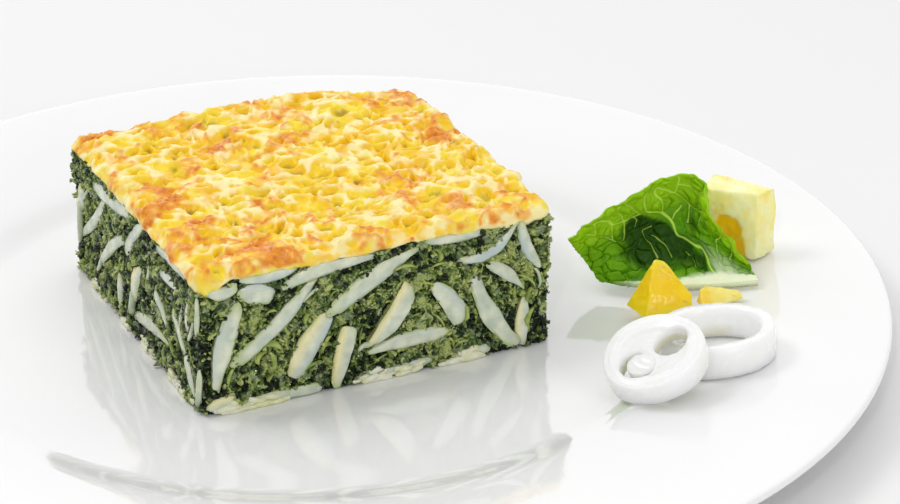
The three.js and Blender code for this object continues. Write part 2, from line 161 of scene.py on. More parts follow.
# %% Helpers for meshes
def mesh_of(shape, name):
    """The mesh of a bmesh, with its faces turned outwards."""
    bmesh.ops.recalc_face_normals(shape, faces=shape.faces)
    mesh = bpy.data.meshes.new(name)
    shape.to_mesh(mesh)
    shape.free()
    return mesh


def points_of(mesh):
    flat = np.empty(len(mesh.vertices) * 3)
    mesh.vertices.foreach_get("co", flat)
    return flat.reshape(-1, 3)


def move_points(mesh, points):
    mesh.vertices.foreach_set("co", np.ascontiguousarray(points, np.float32).ravel())
    mesh.update()


def store(mesh, name, values):
    """Keeps one number at each point, for a material to read."""
    layer = mesh.attributes.new(name, "FLOAT", "POINT")
    layer.data.foreach_set("value", np.ascontiguousarray(values, np.float32))


def add_piece(mesh, material, nodes, sharp=180):
    """Finishes a mesh that is still in millimetres."""
    mesh.transform(Matrix.Scale(MM, 4))
    mesh.shade_smooth()
    if sharp < 180:
        mesh.set_sharp_from_angle(angle=math.radians(sharp))
    made = bpy.data.objects.new(mesh.name, mesh)
    bpy.context.scene.collection.objects.link(made)
    mesh.materials.append(material)
    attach(made, "root")
    if nodes:
        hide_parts(*nodes)
    mesh.calc_loop_triangles()
    print(mesh.name, len(mesh.loop_triangles), "triangles")
    return made


# %% [markdown]
# ## Effects that several foods share
# Three effects come back in almost every food here, so each is one node group with its own
# sockets. Mottle blends two colours in soft uneven patches, grain gives a height for fine
# relief, and moisture makes some places wetter, and so glossier, than others.


# %% Helpers for nodes
def paint(red, green, blue):
    """A colour given as 0 to 255, as a screen shows it, for a linear socket."""
    def linear(v):
        v /= 255
        return v / 12.92 if v <= 0.04045 else ((v + 0.055) / 1.055) ** 2.4

    return (linear(red), linear(green), linear(blue), 1.0)


def add_node(tree, kind, inputs=None, **settings):
    """Adds a node. An input is given as a value or as the socket that feeds it."""
    made = tree.nodes.new(kind)
    for key, value in settings.items():
        setattr(made, key, value)
    for key, value in (inputs or {}).items():
        if isinstance(value, bpy.types.NodeSocket):
            tree.links.new(value, made.inputs[key])
        else:
            made.inputs[key].default_value = value
    return made


def blend_colors(tree, share, first, second, how="MIX"):
    made = tree.nodes.new("ShaderNodeMix")
    made.data_type, made.blend_type = "RGBA", how
    for index, value in ((0, share), (6, first), (7, second)):
        if isinstance(value, bpy.types.NodeSocket):
            tree.links.new(value, made.inputs[index])
        else:
            made.inputs[index].default_value = value
    return made.outputs[2]


def spread(tree, value, low, high, to_low=0.0, to_high=1.0, ease="SMOOTHSTEP"):
    """Takes a value from one range to another, and stops at its ends."""
    made = add_node(tree, "ShaderNodeMapRange", {0: value, 1: low, 2: high}, interpolation_type=ease)
    made.inputs[3].default_value, made.inputs[4].default_value = to_low, to_high
    return made.outputs[0]


def new_group(name, inputs, outputs):
    """An empty node group with its sockets, and its two end nodes."""
    tree = bpy.data.node_groups.new(name, "ShaderNodeTree")
    for label, kind, value in inputs:
        made = tree.interface.new_socket(label, in_out="INPUT", socket_type="NodeSocket" + kind)
        if value is not None:
            made.default_value = value
    for label, kind in outputs:
        tree.interface.new_socket(label, in_out="OUTPUT", socket_type="NodeSocket" + kind)
    return tree, tree.nodes.new("NodeGroupInput").outputs, tree.nodes.new("NodeGroupOutput").inputs


# %% The three shared groups
MOTTLE, given, result = new_group(
    "mottle",
    [("Vector", "Vector", None), ("Patches per metre", "Float", 200.0), ("Balance", "Float", 0.5),
     ("Softness", "Float", 0.15), ("First", "Color", None), ("Second", "Color", None)],
    [("Color", "Color"), ("Mask", "Float")],
)
patches = add_node(MOTTLE, "ShaderNodeTexNoise",
                   {"Vector": given["Vector"], "Scale": given["Patches per metre"], "Detail": 3.0})
low = add_node(MOTTLE, "ShaderNodeMath", {0: given["Balance"], 1: given["Softness"]}, operation="SUBTRACT")
high = add_node(MOTTLE, "ShaderNodeMath", {0: given["Balance"], 1: given["Softness"]}, operation="ADD")
mask = add_node(MOTTLE, "ShaderNodeMapRange",
                {0: patches.outputs["Fac"], 1: low.outputs[0], 2: high.outputs[0]},
                interpolation_type="SMOOTHSTEP")
MOTTLE.links.new(blend_colors(MOTTLE, mask.outputs[0], given["First"], given["Second"]), result["Color"])
MOTTLE.links.new(mask.outputs[0], result["Mask"])

GRAIN, given, result = new_group(
    "grain",
    [("Vector", "Vector", None), ("Grains per metre", "Float", 1500.0), ("Lumpiness", "Float", 0.5)],
    [("Height", "Float")],
)
fine = add_node(GRAIN, "ShaderNodeTexNoise",
                {"Vector": given["Vector"], "Scale": given["Grains per metre"], "Detail": 3.0})
lumps = add_node(GRAIN, "ShaderNodeTexVoronoi",
                 {"Vector": given["Vector"], "Scale": given["Grains per metre"]}, feature="SMOOTH_F1")
both = add_node(GRAIN, "ShaderNodeMix",
                {0: given["Lumpiness"], 2: fine.outputs["Fac"], 3: lumps.outputs["Distance"]})
GRAIN.links.new(both.outputs[0], result["Height"])

MOISTURE, given, result = new_group(
    "moisture",
    [("Vector", "Vector", None), ("Spots per metre", "Float", 400.0), ("Wet", "Float", 0.15),
     ("Dry", "Float", 0.5)],
    [("Roughness", "Float"), ("Film", "Float")],
)
spots = add_node(MOISTURE, "ShaderNodeTexNoise",
                 {"Vector": given["Vector"], "Scale": given["Spots per metre"], "Detail": 2.0})
film = spread(MOISTURE, spots.outputs["Fac"], 0.4, 0.62)
wetness = add_node(MOISTURE, "ShaderNodeMapRange", {0: film, 3: given["Dry"], 4: given["Wet"]})
MOISTURE.links.new(wetness.outputs[0], result["Roughness"])
MOISTURE.links.new(film, result["Film"])
print("groups:", [g.name for g in bpy.data.node_groups])


# %% Starting a material
def start_material(name, **constants):
    """A material whose Principled shader has its plain values set on its own sockets."""
    made = bpy.data.materials.new(name)
    made.use_nodes = True
    tree = made.node_tree
    shader = tree.nodes["Principled BSDF"]
    for key, value in constants.items():
        shader.inputs[key.replace("_", " ")].default_value = value
    place = tree.nodes.new("ShaderNodeTexCoord").outputs["Object"]
    return made, tree, shader, place


def use_group(tree, group, **inputs):
    made = tree.nodes.new("ShaderNodeGroup")
    made.node_tree = group
    for key, value in inputs.items():
        socket = made.inputs[key.replace("_", " ")]
        if isinstance(value, bpy.types.NodeSocket):
            tree.links.new(value, socket)
        else:
            socket.default_value = value
    return made.outputs


def stored(tree, name):
    return add_node(tree, "ShaderNodeAttribute", attribute_name=name).outputs["Fac"]


def bump(tree, shader, height, depth, strength=1.0):
    """Fine relief that is depth metres deep."""
    made = add_node(tree, "ShaderNodeBump", {"Height": height, "Distance": depth, "Strength": strength})
    tree.links.new(made.outputs[0], shader.inputs["Normal"])


# %% [markdown]
# ## The plate
# Hotel porcelain is a turned shape: a flat well, a soft shoulder, a wide rim that rises to a
# rounded edge, and a foot ring underneath. A profile spun round the upright axis is how the
# plate is made on the wheel as well, so `spin` is the natural operator for it.

# %% Porcelain
GLAZE, tree, shader, place = start_material(
    "porcelain_glaze", IOR=1.5, Coat_Weight=0.6, Coat_Roughness=0.03)
tint = use_group(tree, MOTTLE, Vector=place, Patches_per_metre=18.0, Softness=0.3,
                 First=paint(240, 240, 241), Second=paint(243, 243, 243))
tree.links.new(tint["Color"], shader.inputs["Base Color"])
shine = use_group(tree, MOISTURE, Vector=place, Spots_per_metre=30.0, Wet=0.07, Dry=0.1)
tree.links.new(shine["Roughness"], shader.inputs["Roughness"])
orange_peel = use_group(tree, GRAIN, Vector=place, Grains_per_metre=120.0, Lumpiness=0.0)
bump(tree, shader, orange_peel["Height"], 0.00003)

# %% Plate
PLATE_RADIUS, SHOULDER_RADIUS, WELL_RADIUS = 150.0, 100.0, 88.0
SHOULDER_Z, RIM_Z, EDGE = 8.6, 12.2, 1.2
PLATE_STEPS = 160

slope = [(mix(WELL_RADIUS, SHOULDER_RADIUS, s), mix(FLOOR_Z, SHOULDER_Z, float(smooth(0, 1.12, s))))
         for s in np.linspace(0, 1, 9)]
rim = [(mix(SHOULDER_RADIUS, PLATE_RADIUS - EDGE, s), mix(SHOULDER_Z, RIM_Z, s ** 0.95))
       for s in (0.06, 0.15, 0.3, 0.5, 0.7, 0.85, 0.95)]
lip = [(PLATE_RADIUS - EDGE + EDGE * math.sin(t), RIM_Z - EDGE + EDGE * math.cos(t))
       for t in np.radians(np.arange(0, 181, 22.5))]
under = [(146, 9.45), (135, 8.1), (120, 6.4), (108, 4.8), (98, 3.2), (94.6, 1.2), (94.1, 0.35), (93.4, 0),
         (88.6, 0), (87.9, 0.35), (87.2, 1.2), (86, 1.8), (60, 1.8)]
profile = [(0, FLOOR_Z), (30, FLOOR_Z), (60, FLOOR_Z), (82, FLOOR_Z), *slope, *rim, *lip, *under, (0, 1.8)]

turned = bmesh.new()
corners = [turned.verts.new((r, 0, z)) for r, z in profile]
edges = [turned.edges.new(pair) for pair in zip(corners, corners[1:])]
bmesh.ops.spin(turned, geom=corners + edges, cent=(0, 0, 0), axis=(0, 0, 1), angle=2 * math.pi,
               steps=PLATE_STEPS, use_merge=True)
bmesh.ops.remove_doubles(turned, verts=turned.verts, dist=0.001)
add_piece(mesh_of(turned, "dinner_plate"), GLAZE, ["plate"])

# %% [markdown]
# ## The baked topping
# Grated cheese melts where it lies, so the surface keeps the net of the shreds: round ridges
# with pits between them. A fine grid is lifted by that net, and its border is drawn down over
# the edge of the cut. The pits that the solid has are kept, and smaller ones come between them.
# Each point stores how deep it lies, how toasted it is and how pale, which the material reads:
# the depth drives a painted glow and painted shade in the pits, and the paleness holds a painted
# highlight on the ridges.

# %% Relief of the topping
CRUST_STEPS = 262
PIT_SPACING, PIT_RADIUS, PIT_DEPTH = 6.4, 3.2, 2.3
SMALL_SPACING = 4.1
SHREDS = 420
WALL_ROWS = 5
CORNER_ROUND = 3.0
HIGHEST, SOFTENED = 39.3, 0.7


def pit_centres():
    """The middles of the solid's pits: one in each cell, somewhere off its centre."""
    reach = int(HALF / PIT_SPACING) + 2
    centres = []
    for column in range(-reach, reach + 1):
        for row in range(-reach, reach + 1):
            draw = seeded(1 + (column + 40) * 977 + (row + 40) * 131)
            next(draw)
            centres.append([(c + mix(0.15, 0.85, next(draw))) * PIT_SPACING for c in (column, row)])
    return np.array(centres)


def pit_distance(x, y, centres):
    nearest = np.full(x.shape, 99.0)
    for px, py in centres:
        nearest = np.minimum(nearest, np.hypot(x - px, (y - py) * 1.15))
    return nearest


def shred_net(x, y, count, seed):
    """Height of melted shreds that cross at random: 0 between them, about 1 along them."""
    draw = np.random.default_rng(seed)
    net = np.zeros(x.shape)
    for _ in range(count):
        cx, cy = draw.uniform(-HALF - 2, HALF + 2, 2)
        turn, half, width = draw.uniform(0, math.pi), draw.uniform(2.6, 7.0), draw.uniform(0.45, 0.9)
        bow, tall = draw.uniform(-1.6, 1.6), draw.uniform(0.5, 1.05)
        near = (np.abs(x - cx) < half + 3) & (np.abs(y - cy) < half + 3)
        dx, dy = x[near] - cx, y[near] - cy
        along = dx * math.cos(turn) + dy * math.sin(turn)
        across = dy * math.cos(turn) - dx * math.sin(turn) - bow * (1 - (along / half) ** 2)
        past = np.maximum(np.abs(along) - half, 0)
        net[near] += (tall * np.exp(-(past**2 + across**2) / (2 * width**2))) ** 4
    return net**0.25


def small_pits(x, y, spacing, seed):
    """Round-bottomed pits between the shreds: 0 on the ridges, up to 1 at the deepest floor."""
    draw = np.random.default_rng(seed)
    reach = int(HALF / spacing) + 1
    total = np.zeros(x.shape)
    for column, row in itertools.product(range(-reach, reach + 1), repeat=2):
        cx, cy = (np.array([column, row]) + draw.uniform(-0.42, 0.42, 2)) * spacing
        turn, wide = draw.uniform(0, math.pi), np.clip(draw.lognormal(0.5, 0.3), 0.9, 2.9)
        stretch, depth = draw.uniform(1.0, 1.6), draw.uniform(0.35, 1.0)
        near = (np.abs(x - cx) < 8) & (np.abs(y - cy) < 8)
        dx, dy = x[near] - cx, y[near] - cy
        along = (dx * math.cos(turn) + dy * math.sin(turn)) / (wide * stretch)
        across = (dy * math.cos(turn) - dx * math.sin(turn)) / wide
        total[near] += (depth * np.exp(-(along**2 + across**2) ** 1.6)) ** 4
    return total**0.25


def topping(x, y):
    """Height above the well, how deep each point lies below the ridges, and the shreds' net."""
    flat = np.column_stack([x, y, np.zeros(len(x))])
    wx = x + 0.7 * rough(flat, 5, 11, 2) + 0.25 * ripple(flat, 1.6, 31)
    wy = y + 0.7 * rough(flat, 5, 21, 2) + 0.25 * ripple(flat, 1.6, 32)
    inside = smooth(HALF, HALF - 4, np.maximum(np.abs(x), np.abs(y)))
    big = smooth(PIT_RADIUS, PIT_RADIUS / 4, pit_distance(wx, wy, pit_centres()))
    net = np.minimum(shred_net(wx, wy, SHREDS, 41), 1.15)
    holes = small_pits(wx, wy, SMALL_SPACING, 47)
    deep = (2.5 * holes + 0.45 * PIT_DEPTH * big * mix(0.3, 1, holes)) * (1 - 0.75 * smooth(0.3, 1, net))
    deep = deep * mix(0.45, 1, inside)
    waves = 0.5 * np.sin(x * 0.23 + y * 0.1) + 0.4 * np.sin(y * 0.31 - x * 0.07)
    left = smooth(SAG_REACH, 0, np.hypot(x + HALF, y - HALF)) * LEFT_DROP
    strands = np.column_stack([x * 0.35 + 2 * ripple(flat, 8, 63), y + 1.5 * ripple(flat, 8, 64), x * 0])
    crisp = 0.09 * rough(flat, 0.9, 51) + 0.3 * ripple(flat, 7, 61) + 0.16 * ripple(flat, 2.2, 62)
    crisp = crisp + 0.16 * ripple(strands, 0.9, 65)
    top = CRUST_HEIGHT + 0.05 + 0.5 * inside + waves * 0.9 - left - sag(x, y) + crisp
    return top - deep + 0.8 * net, deep, net


def round_corners(x, y, radius):
    """Takes the corners of the square in, and gives the way out from the middle as well."""
    a = np.clip((np.abs(x) - HALF + radius) / radius, 0, 1)
    b = np.clip((np.abs(y) - HALF + radius) / radius, 0, 1)
    in_x, in_y = a * np.sqrt(1 - b * b / 2), b * np.sqrt(1 - a * a / 2)
    new_x = np.where(a > 0, np.sign(x) * (HALF - radius + radius * in_x), x)
    new_y = np.where(b > 0, np.sign(y) * (HALF - radius + radius * in_y), y)
    return new_x, new_y, np.column_stack([np.sign(x) * in_x, np.sign(y) * in_y])


# %% Mesh of the topping
sheet = bmesh.new()
bmesh.ops.create_grid(sheet, x_segments=CRUST_STEPS, y_segments=CRUST_STEPS, size=HALF)
row_of = sheet.verts.layers.int.new("row")
border = [e for e in sheet.edges if e.is_boundary]
for row in range(1, WALL_ROWS + 3):
    grown = bmesh.ops.extrude_edge_only(sheet, edges=border)["geom"]
    for v in (g for g in grown if isinstance(g, bmesh.types.BMVert)):
        v[row_of] = row
    border = [g for g in grown if isinstance(g, bmesh.types.BMEdge) and g.is_boundary]
bmesh.ops.contextual_create(sheet, geom=border)
rows = np.array([v[row_of] for v in sheet.verts])
crust_mesh = mesh_of(sheet, "baked_topping")

square = points_of(crust_mesh)
outmost = np.maximum(np.abs(square[:, 0]), np.abs(square[:, 1]))
x, y, outward = round_corners(square[:, 0], square[:, 1], CORNER_ROUND)
flat = np.column_stack([x, y, x * 0])
height, deep, net = topping(x, y)

edge_share = smooth(HALF - 2.4, HALF, outmost)
height = height - 1.1 * edge_share**2
ragged = rough(flat, 5.5, 71)
wall = np.clip(rows / WALL_ROWS, 0, 1)
hem = underside(x, y) - 0.4 + 0.9 * ragged
z = np.where(rows > 0, mix(height, np.minimum(hem, height - 1.0), wall), height)
z = np.where(rows > WALL_ROWS, underside(x, y) + 0.2, z)
spot = np.column_stack([x, y, z])
lumps = rough(spot, 2.4, 81)
out = 0.45 * ragged * edge_share - 0.15 * edge_share
out = out + np.where(rows > 0, 0.5 * np.sin(math.pi * wall) + 0.3 * lumps, 0)
inward = np.where(rows == WALL_ROWS + 1, 0.975, np.where(rows == WALL_ROWS + 2, 0.7, 1.0))
over = np.maximum(z - HIGHEST, 0)
z = np.minimum(z, HIGHEST) + SOFTENED * (1 - np.exp(-over / SOFTENED))
moved = np.column_stack([
    BAKE_X + (x + outward[:, 0] * out) * inward, BAKE_Y + (y + outward[:, 1] * out) * inward, FLOOR_Z + z])
move_points(crust_mesh, moved)

ridge = 1 - np.clip(deep / 1.5, 0, 1)
near_left = smooth(-HALF + 26, -HALF + 2, x) * smooth(HALF, HALF - 70, y)
near_front = smooth(-HALF + 15, -HALF + 1, y) * smooth(HALF, HALF - 34, x)
near_right = smooth(HALF - 22, HALF - 4, x) * smooth(HALF, HALF - 60, y)
spots = 0.7 * ripple(flat, 9, 91) + 0.65 * ripple(flat, 4, 95) + 0.6 * ripple(spot, 1.7, 97)
strand = smooth(0.55, 1.05, net)
toast = spots + 0.45 * ridge + 0.75 * strand + 0.65 * near_left + 0.68 * near_front + 0.05 * near_right
drip = 0.62 + 0.45 * ripple(spot, 5, 99)
toast = smooth(0.3, 2.3, toast) * smooth(drip + 0.3, drip - 0.25, wall)
on_top = smooth(0.5, 0.1, wall)
store(crust_mesh, "toast", toast)
# The hollow value drives the painted glow and the painted shade in the pits.
store(crust_mesh, "hollow", np.clip(deep / 2.6, 0, 1) * on_top)
# Paleness: random patches, a painted highlight on the ridges, and paler walls.
store(crust_mesh, "pale", np.clip(smooth(-0.4, 1.0, rough(spot, 4.0, 101) + 0.8 * ridge) + 0.3 * (1 - on_top), 0, 1))

# %% Melted cheese
MELTED, tree, shader, place = start_material(
    "melted_cheese", Subsurface_Weight=0.25, Subsurface_Scale=0.0015, IOR=1.45, Coat_Roughness=0.25)
shader.inputs["Subsurface Radius"].default_value = (0.9, 0.7, 0.35)
body = use_group(tree, MOTTLE, Vector=place, Patches_per_metre=140.0, Softness=0.14,
                 First=paint(250, 202, 64), Second=paint(246, 226, 84))
# Pale cream: random paleness with a painted highlight on the ridges.
color = blend_colors(tree, spread(tree, stored(tree, "pale"), 0.3, 1.0, 0.0, 0.8), body["Color"],
                     paint(254, 240, 182))
# Painted glow: a saturated gold that stands in for light shining through the cheese, laid into the pits.
pits = use_group(tree, MOTTLE, Vector=place, Patches_per_metre=70.0, Softness=0.1,
                 First=paint(248, 204, 2), Second=paint(250, 222, 48))
color = blend_colors(tree, spread(tree, stored(tree, "hollow"), 0.08, 0.42), color, pits["Color"])
# Painted shade: the deepest pit floors turn dark olive.
color = blend_colors(tree, spread(tree, stored(tree, "hollow"), 0.55, 0.95, 0.0, 0.7), color, paint(176, 156, 44))
browned = use_group(tree, MOTTLE, Vector=place, Patches_per_metre=700.0, Balance=0.55, Softness=0.2,
                    First=paint(240, 156, 40), Second=paint(206, 112, 30))
color = blend_colors(tree, spread(tree, stored(tree, "toast"), 0.0, 0.5, 0.0, 0.75), color, paint(246, 180, 52))
color = blend_colors(tree, spread(tree, stored(tree, "toast"), 0.3, 0.9), color, browned["Color"])
tree.links.new(color, shader.inputs["Base Color"])
greasy = use_group(tree, MOISTURE, Vector=place, Spots_per_metre=500.0, Wet=0.28, Dry=0.55)
tree.links.new(greasy["Roughness"], shader.inputs["Roughness"])
tree.links.new(spread(tree, greasy["Film"], 0.3, 1.0, 0.0, 0.35), shader.inputs["Coat Weight"])
skin = use_group(tree, GRAIN, Vector=place, Grains_per_metre=1600.0, Lumpiness=0.35)
bump(tree, shader, skin["Height"], 0.00012, 0.6)
add_piece(crust_mesh, MELTED, ["baked_crust"])

# %% [markdown]
# ## The slices of potato
# The tray was cut through, so each slice shows as a pale strip at the face of the cut: a half
# moon seen edge on. Each is a small grid that is shaped to a blunt oval, domed a little, drawn
# inwards and closed behind. The lists give the middle of a strip along its side and above the
# plate, its slope, length and thickness, and how far it bows. Slivers are thin torn strips.

# %% Where the slices lie
FRONT_SLICES = [
    (6, 17.5, 73, 24, 5, 0.4), (4.4, 2.7, 8, 8.4, 4.2, 0), (5.6, 33, 2, 8, 3.8, -0.5),
    (14.8, 30.6, -14, 9.5, 5, 0), (18.5, 35, 4, 16, 3, -0.6), (34, 33.2, 7, 25, 3.8, 0.7),
    (20.3, 22.4, 41, 30, 4.2, -0.7), (45.6, 27.8, 28, 27, 5, 0.5), (28.6, 13.8, 56, 19, 5.6, 0.4),
    (37, 8.4, 75, 16.5, 5, 0), (50.6, 17, 53, 19, 5.4, -1.1), (54.5, 8.9, 3, 23, 4.2, 0.5),
    (66, 17.4, -56, 15, 6, 0.4), (78.4, 11.6, -61, 25, 4.8, -0.8), (86.7, 7.4, 86, 13.4, 3.8, 0),
    (82, 21.8, -42, 13, 3.4, 0.3), (77.6, 30.4, 24, 18, 3, -1.6), (88.4, 28.6, -69, 15, 3.6, -0.6),
    (67.5, 35, -2, 16, 3, -0.4), (22, 1.8, -2, 20, 2.8, 0), (53, 1.9, 3, 17, 2.8, 0),
    (72, 1.9, 4, 11, 2.8, 0),
]
LEFT_SLICES = [
    (19, 34.2, -2, 22, 3, 0.3), (20, 28.4, -6, 16, 3, 0), (46, 29.2, -42, 21, 3.8, 0.6),
    (46.4, 16.4, -60, 14, 5.6, 0.9), (37, 8, -8, 24, 4, 0.5), (63, 32.4, -6, 29, 4.2, -0.5),
    (66, 17, -38, 29, 3.8, 0.7), (60.2, 6.6, -84, 12, 3.6, 0), (80.5, 19.4, -40, 31, 3.8, -0.6),
    (90, 21, -62, 12, 4.6, 0), (15.4, 16.4, 52, 11, 3.8, 0), (28, 17.2, 38, 10, 4, 0.3),
    (8.6, 7.4, 56, 11, 3.6, 0), (8, 24.6, -72, 10, 3, 0.3),
]


def scattered_slices(seed):
    """Slices in leaning rows for the sides that don't show, drawn as the solids were."""
    draw = seeded(seed)
    found = []
    for row, level in enumerate((5, 17.5, 30)):
        count = 3 if row == 1 else 2
        for i in range(count):
            u = BAKE_SIDE * (i + 0.5) / count + mix(-4, 4, next(draw))
            steep = mix(35, 62, next(draw)) if row == 1 else mix(4, 22, next(draw))
            lean = steep if next(draw) < 0.5 else -steep
            middle = level + mix(-1, 1, next(draw))
            found.append((u, middle, lean, mix(17, 25, next(draw)), mix(3.4, 5, next(draw)), 0.5))
    return found


SIDES = {"front": FRONT_SLICES, "left": LEFT_SLICES,
         "right": scattered_slices(11), "back": scattered_slices(29)}
SLIVERS = {
    "left": [(1.6, 26.7, -82, 11, 1.5), (2.6, 6.6, -76, 11, 1.8), (6.2, 21, -58, 9, 1.0), (90.6, 15, -84, 13, 2.0),
             (50.5, 9, -80, 6, 2.2), (76, 9, -50, 7, 1.2), (85, 25.5, -40, 8, 1.2), (36, 24, -62, 7, 1.0),
             (13, 22, -66, 8, 0.9)],
    "front": [(43, 9.6, 12, 4, 1.4), (30, 27.6, 30, 7, 0.9), (90.6, 19, -76, 6, 0.9)],
    "right": [(22, 12, 50, 8, 1.2), (70, 24, -40, 9, 1.3)],
    "back": [(30, 24, 44, 8, 1.2), (75, 12, -52, 9, 1.2)],
}
COVERED = {side: strips + [(*sliver, 0.0) for sliver in SLIVERS[side]] for side, strips in SIDES.items()}

CORNER_POWER = 50
WALL_IN = 0.4


def filling_wall(square):
    """Where the filling's wall stands for places on the square's border, and the way out."""
    rounded = (np.abs(square) ** CORNER_POWER).sum(1) ** (-1 / CORNER_POWER)
    way_out = np.sign(square) * np.abs(square) ** (CORNER_POWER - 1)
    way_out /= np.linalg.norm(way_out, axis=1)[:, None]
    return square * (rounded * (HALF - WALL_IN))[:, None], way_out


def on_side(side, u, height, depth):
    """The place of a point that lies u along a side, at a height, and depth into the bake."""
    along, edge = u / HALF - 1, np.ones(len(u))
    x, y = {"front": (along, -edge), "left": (-edge, along),
            "right": (edge, along), "back": (along, edge)}[side]
    wall, way_out = filling_wall(np.column_stack([x, y]))
    xy = wall + way_out * (WALL_IN - depth)[:, None]
    return np.column_stack([BAKE_X + xy[:, 0], BAKE_Y + xy[:, 1], FLOOR_Z + height])


def slice_reach(u, height, strip):
    """0 in the middle of a strip, 1 at its outline, more outside it."""
    u0, height0, slope, length, thick, bow = strip
    lean = math.radians(slope)
    along = (u - u0) * math.cos(lean) + (height - height0) * math.sin(lean)
    across = (height - height0) * math.cos(lean) - (u - u0) * math.sin(lean)
    across = across - bow * (1 - 2 * (along / (length / 2)) ** 2)
    return (np.abs(along / (length / 2)) ** 2.86 + np.abs(across / (thick / 2)) ** 2.67) ** 0.36


print({side: len(strips) for side, strips in SIDES.items()})

# %% Boiled potato
POTATO, tree, shader, place = start_material(
    "boiled_potato", Subsurface_Weight=0.3, Subsurface_Scale=0.0012, IOR=1.4, Coat_Roughness=0.12)
shader.inputs["Subsurface Radius"].default_value = (1.0, 0.95, 0.7)
flesh = use_group(tree, MOTTLE, Vector=place, Patches_per_metre=230.0, Softness=0.22,
                  First=paint(184, 198, 182), Second=paint(224, 229, 208))
# Painted shade: one side of each strip turns a bluish grey.
color = blend_colors(tree, stored(tree, "painted_side_shade"), flesh["Color"], paint(186, 202, 204))
color = blend_colors(tree, stored(tree, "warm"), color, paint(246, 234, 178))
color = blend_colors(tree, stored(tree, "stain"), color, paint(170, 186, 96))
tree.links.new(color, shader.inputs["Base Color"])
damp = use_group(tree, MOISTURE, Vector=place, Spots_per_metre=350.0, Wet=0.18, Dry=0.42)
tree.links.new(damp["Roughness"], shader.inputs["Roughness"])
tree.links.new(spread(tree, damp["Film"], 0.2, 1.0, 0.1, 0.5), shader.inputs["Coat Weight"])
starch = use_group(tree, GRAIN, Vector=place, Grains_per_metre=1300.0, Lumpiness=0.3)
bump(tree, shader, starch["Height"], 0.00018, 0.6)

# %% Slices
SLICE_COLUMNS, SLICE_ROWS = 34, 10
SLICE_DEPTHS = (0.0, 0.12, 0.6, 2.4, 6.0)
WARM_FACES = {("front", 9): 0.7, ("front", 10): 0.9, ("front", 11): 0.9, ("front", 2): 0.8,
              ("front", 15): 0.6, ("left", 4): 0.8, ("left", 10): 0.5, ("left", 8): 0.5}


def potato_slice(side, number, strip, before):
    """One strip of potato. It lies a little deeper where a strip from before covers it."""
    u0, height0, slope, length, thick, bow = strip
    shape = bmesh.new()
    bmesh.ops.create_grid(shape, x_segments=SLICE_COLUMNS, y_segments=SLICE_ROWS, size=1)
    row_of = shape.verts.layers.int.new("row")
    border = [e for e in shape.edges if e.is_boundary]
    for row in range(1, len(SLICE_DEPTHS)):
        grown = bmesh.ops.extrude_edge_only(shape, edges=border)["geom"]
        for v in (g for g in grown if isinstance(g, bmesh.types.BMVert)):
            v[row_of] = row
        border = [g for g in grown if isinstance(g, bmesh.types.BMEdge) and g.is_boundary]
    bmesh.ops.contextual_create(shape, geom=border)
    rows = np.array([v[row_of] for v in shape.verts])
    mesh = mesh_of(shape, f"slice_{side}_{number}")

    flat = points_of(mesh)
    s, t = flat[:, 0], flat[:, 1]
    disc_x, disc_y = s * np.sqrt(1 - t * t / 2), t * np.sqrt(1 - s * s / 2)
    ring, turn = np.hypot(disc_x, disc_y), np.arctan2(disc_y, disc_x)
    seed = 7 * number + 300 * list(SIDES).index(side)
    uneven = ripple(np.column_stack([np.cos(turn) * 2.2, np.sin(turn) * 1.2, turn * 0]), 1, seed)
    finer = ripple(np.column_stack([np.cos(turn) * 6, np.sin(turn) * 2.5, turn * 0]), 1, seed + 1)
    ring_out = ring * (1.03 + 0.07 * uneven + 0.05 * finer)
    lean = math.radians(slope)
    narrow = mix(1, 0.8, np.array(SLICE_DEPTHS)[rows] / SLICE_DEPTHS[-1])
    along = ring_out * np.sign(np.cos(turn)) * np.abs(np.cos(turn)) ** 0.66 * length / 2 * narrow
    thin_end = math.sin(seed * 1.7)
    taper = 1 + 0.14 * ripple(np.column_stack([along / 7, along * 0, along * 0]), 1, seed + 3)
    taper = taper * (1 - 0.55 * abs(thin_end) * smooth(0.1, 1.0, along / (length / 2) * np.sign(thin_end)))
    across = ring_out * np.sign(np.sin(turn)) * np.abs(np.sin(turn)) ** 0.6 * thick / 2 * 0.93 * taper
    across = across + bow * (1 - 2 * (along / (length / 2)) ** 2)
    u = u0 + along * math.cos(lean) - across * math.sin(lean)
    height = height0 + along * math.sin(lean) + across * math.cos(lean)
    dome = 0.42 * (1 - ring**7) - 0.27 + 0.14 * ripple(np.column_stack([u, height, u * 0]), 3.2, seed + 5)
    depth = np.array(SLICE_DEPTHS)[rows] - np.where(rows == 0, dome, 0)
    for other in before:
        depth = depth + 1.3 * smooth(1.12, 0.98, slice_reach(u, height, other)) * (rows < 3)
    u, depth = np.clip(u, 0.15, BAKE_SIDE - 0.15), np.maximum(depth, -0.35)
    x, y = u - HALF, (HALF - depth) * (-1 if side in ("front", "left") else 1)
    roof = underside(*((x, y) if side in ("front", "back") else (y, x))) + 0.4
    height = np.clip(height, 0.3, roof)
    move_points(mesh, on_side(side, u, height, depth))

    warm = WARM_FACES.get((side, number), 0.12)
    store(mesh, "warm", warm * smooth(-0.35, 0.75, across / (thick / 2)) + 0.05)
    rim = smooth(0.6, 1.0, ring) * (0.4 + 0.5 * uneven)
    store(mesh, "stain", np.clip(np.where(rows > 1, 0.6, rim), 0, 0.8))
    # Painted shade on one side of the strip, stronger on some strips than others.
    painted_side_shade = smooth(0.1, -0.9, across / (thick / 2) * math.copysign(1, thin_end))
    store(mesh, "painted_side_shade", painted_side_shade * abs(math.cos(seed)))
    add_piece(mesh, POTATO, [f"potato_{side}_{number}"])


for side, strips in SIDES.items():
    for number, strip in enumerate(strips, 1):
        potato_slice(side, number, strip, strips[:number - 1])
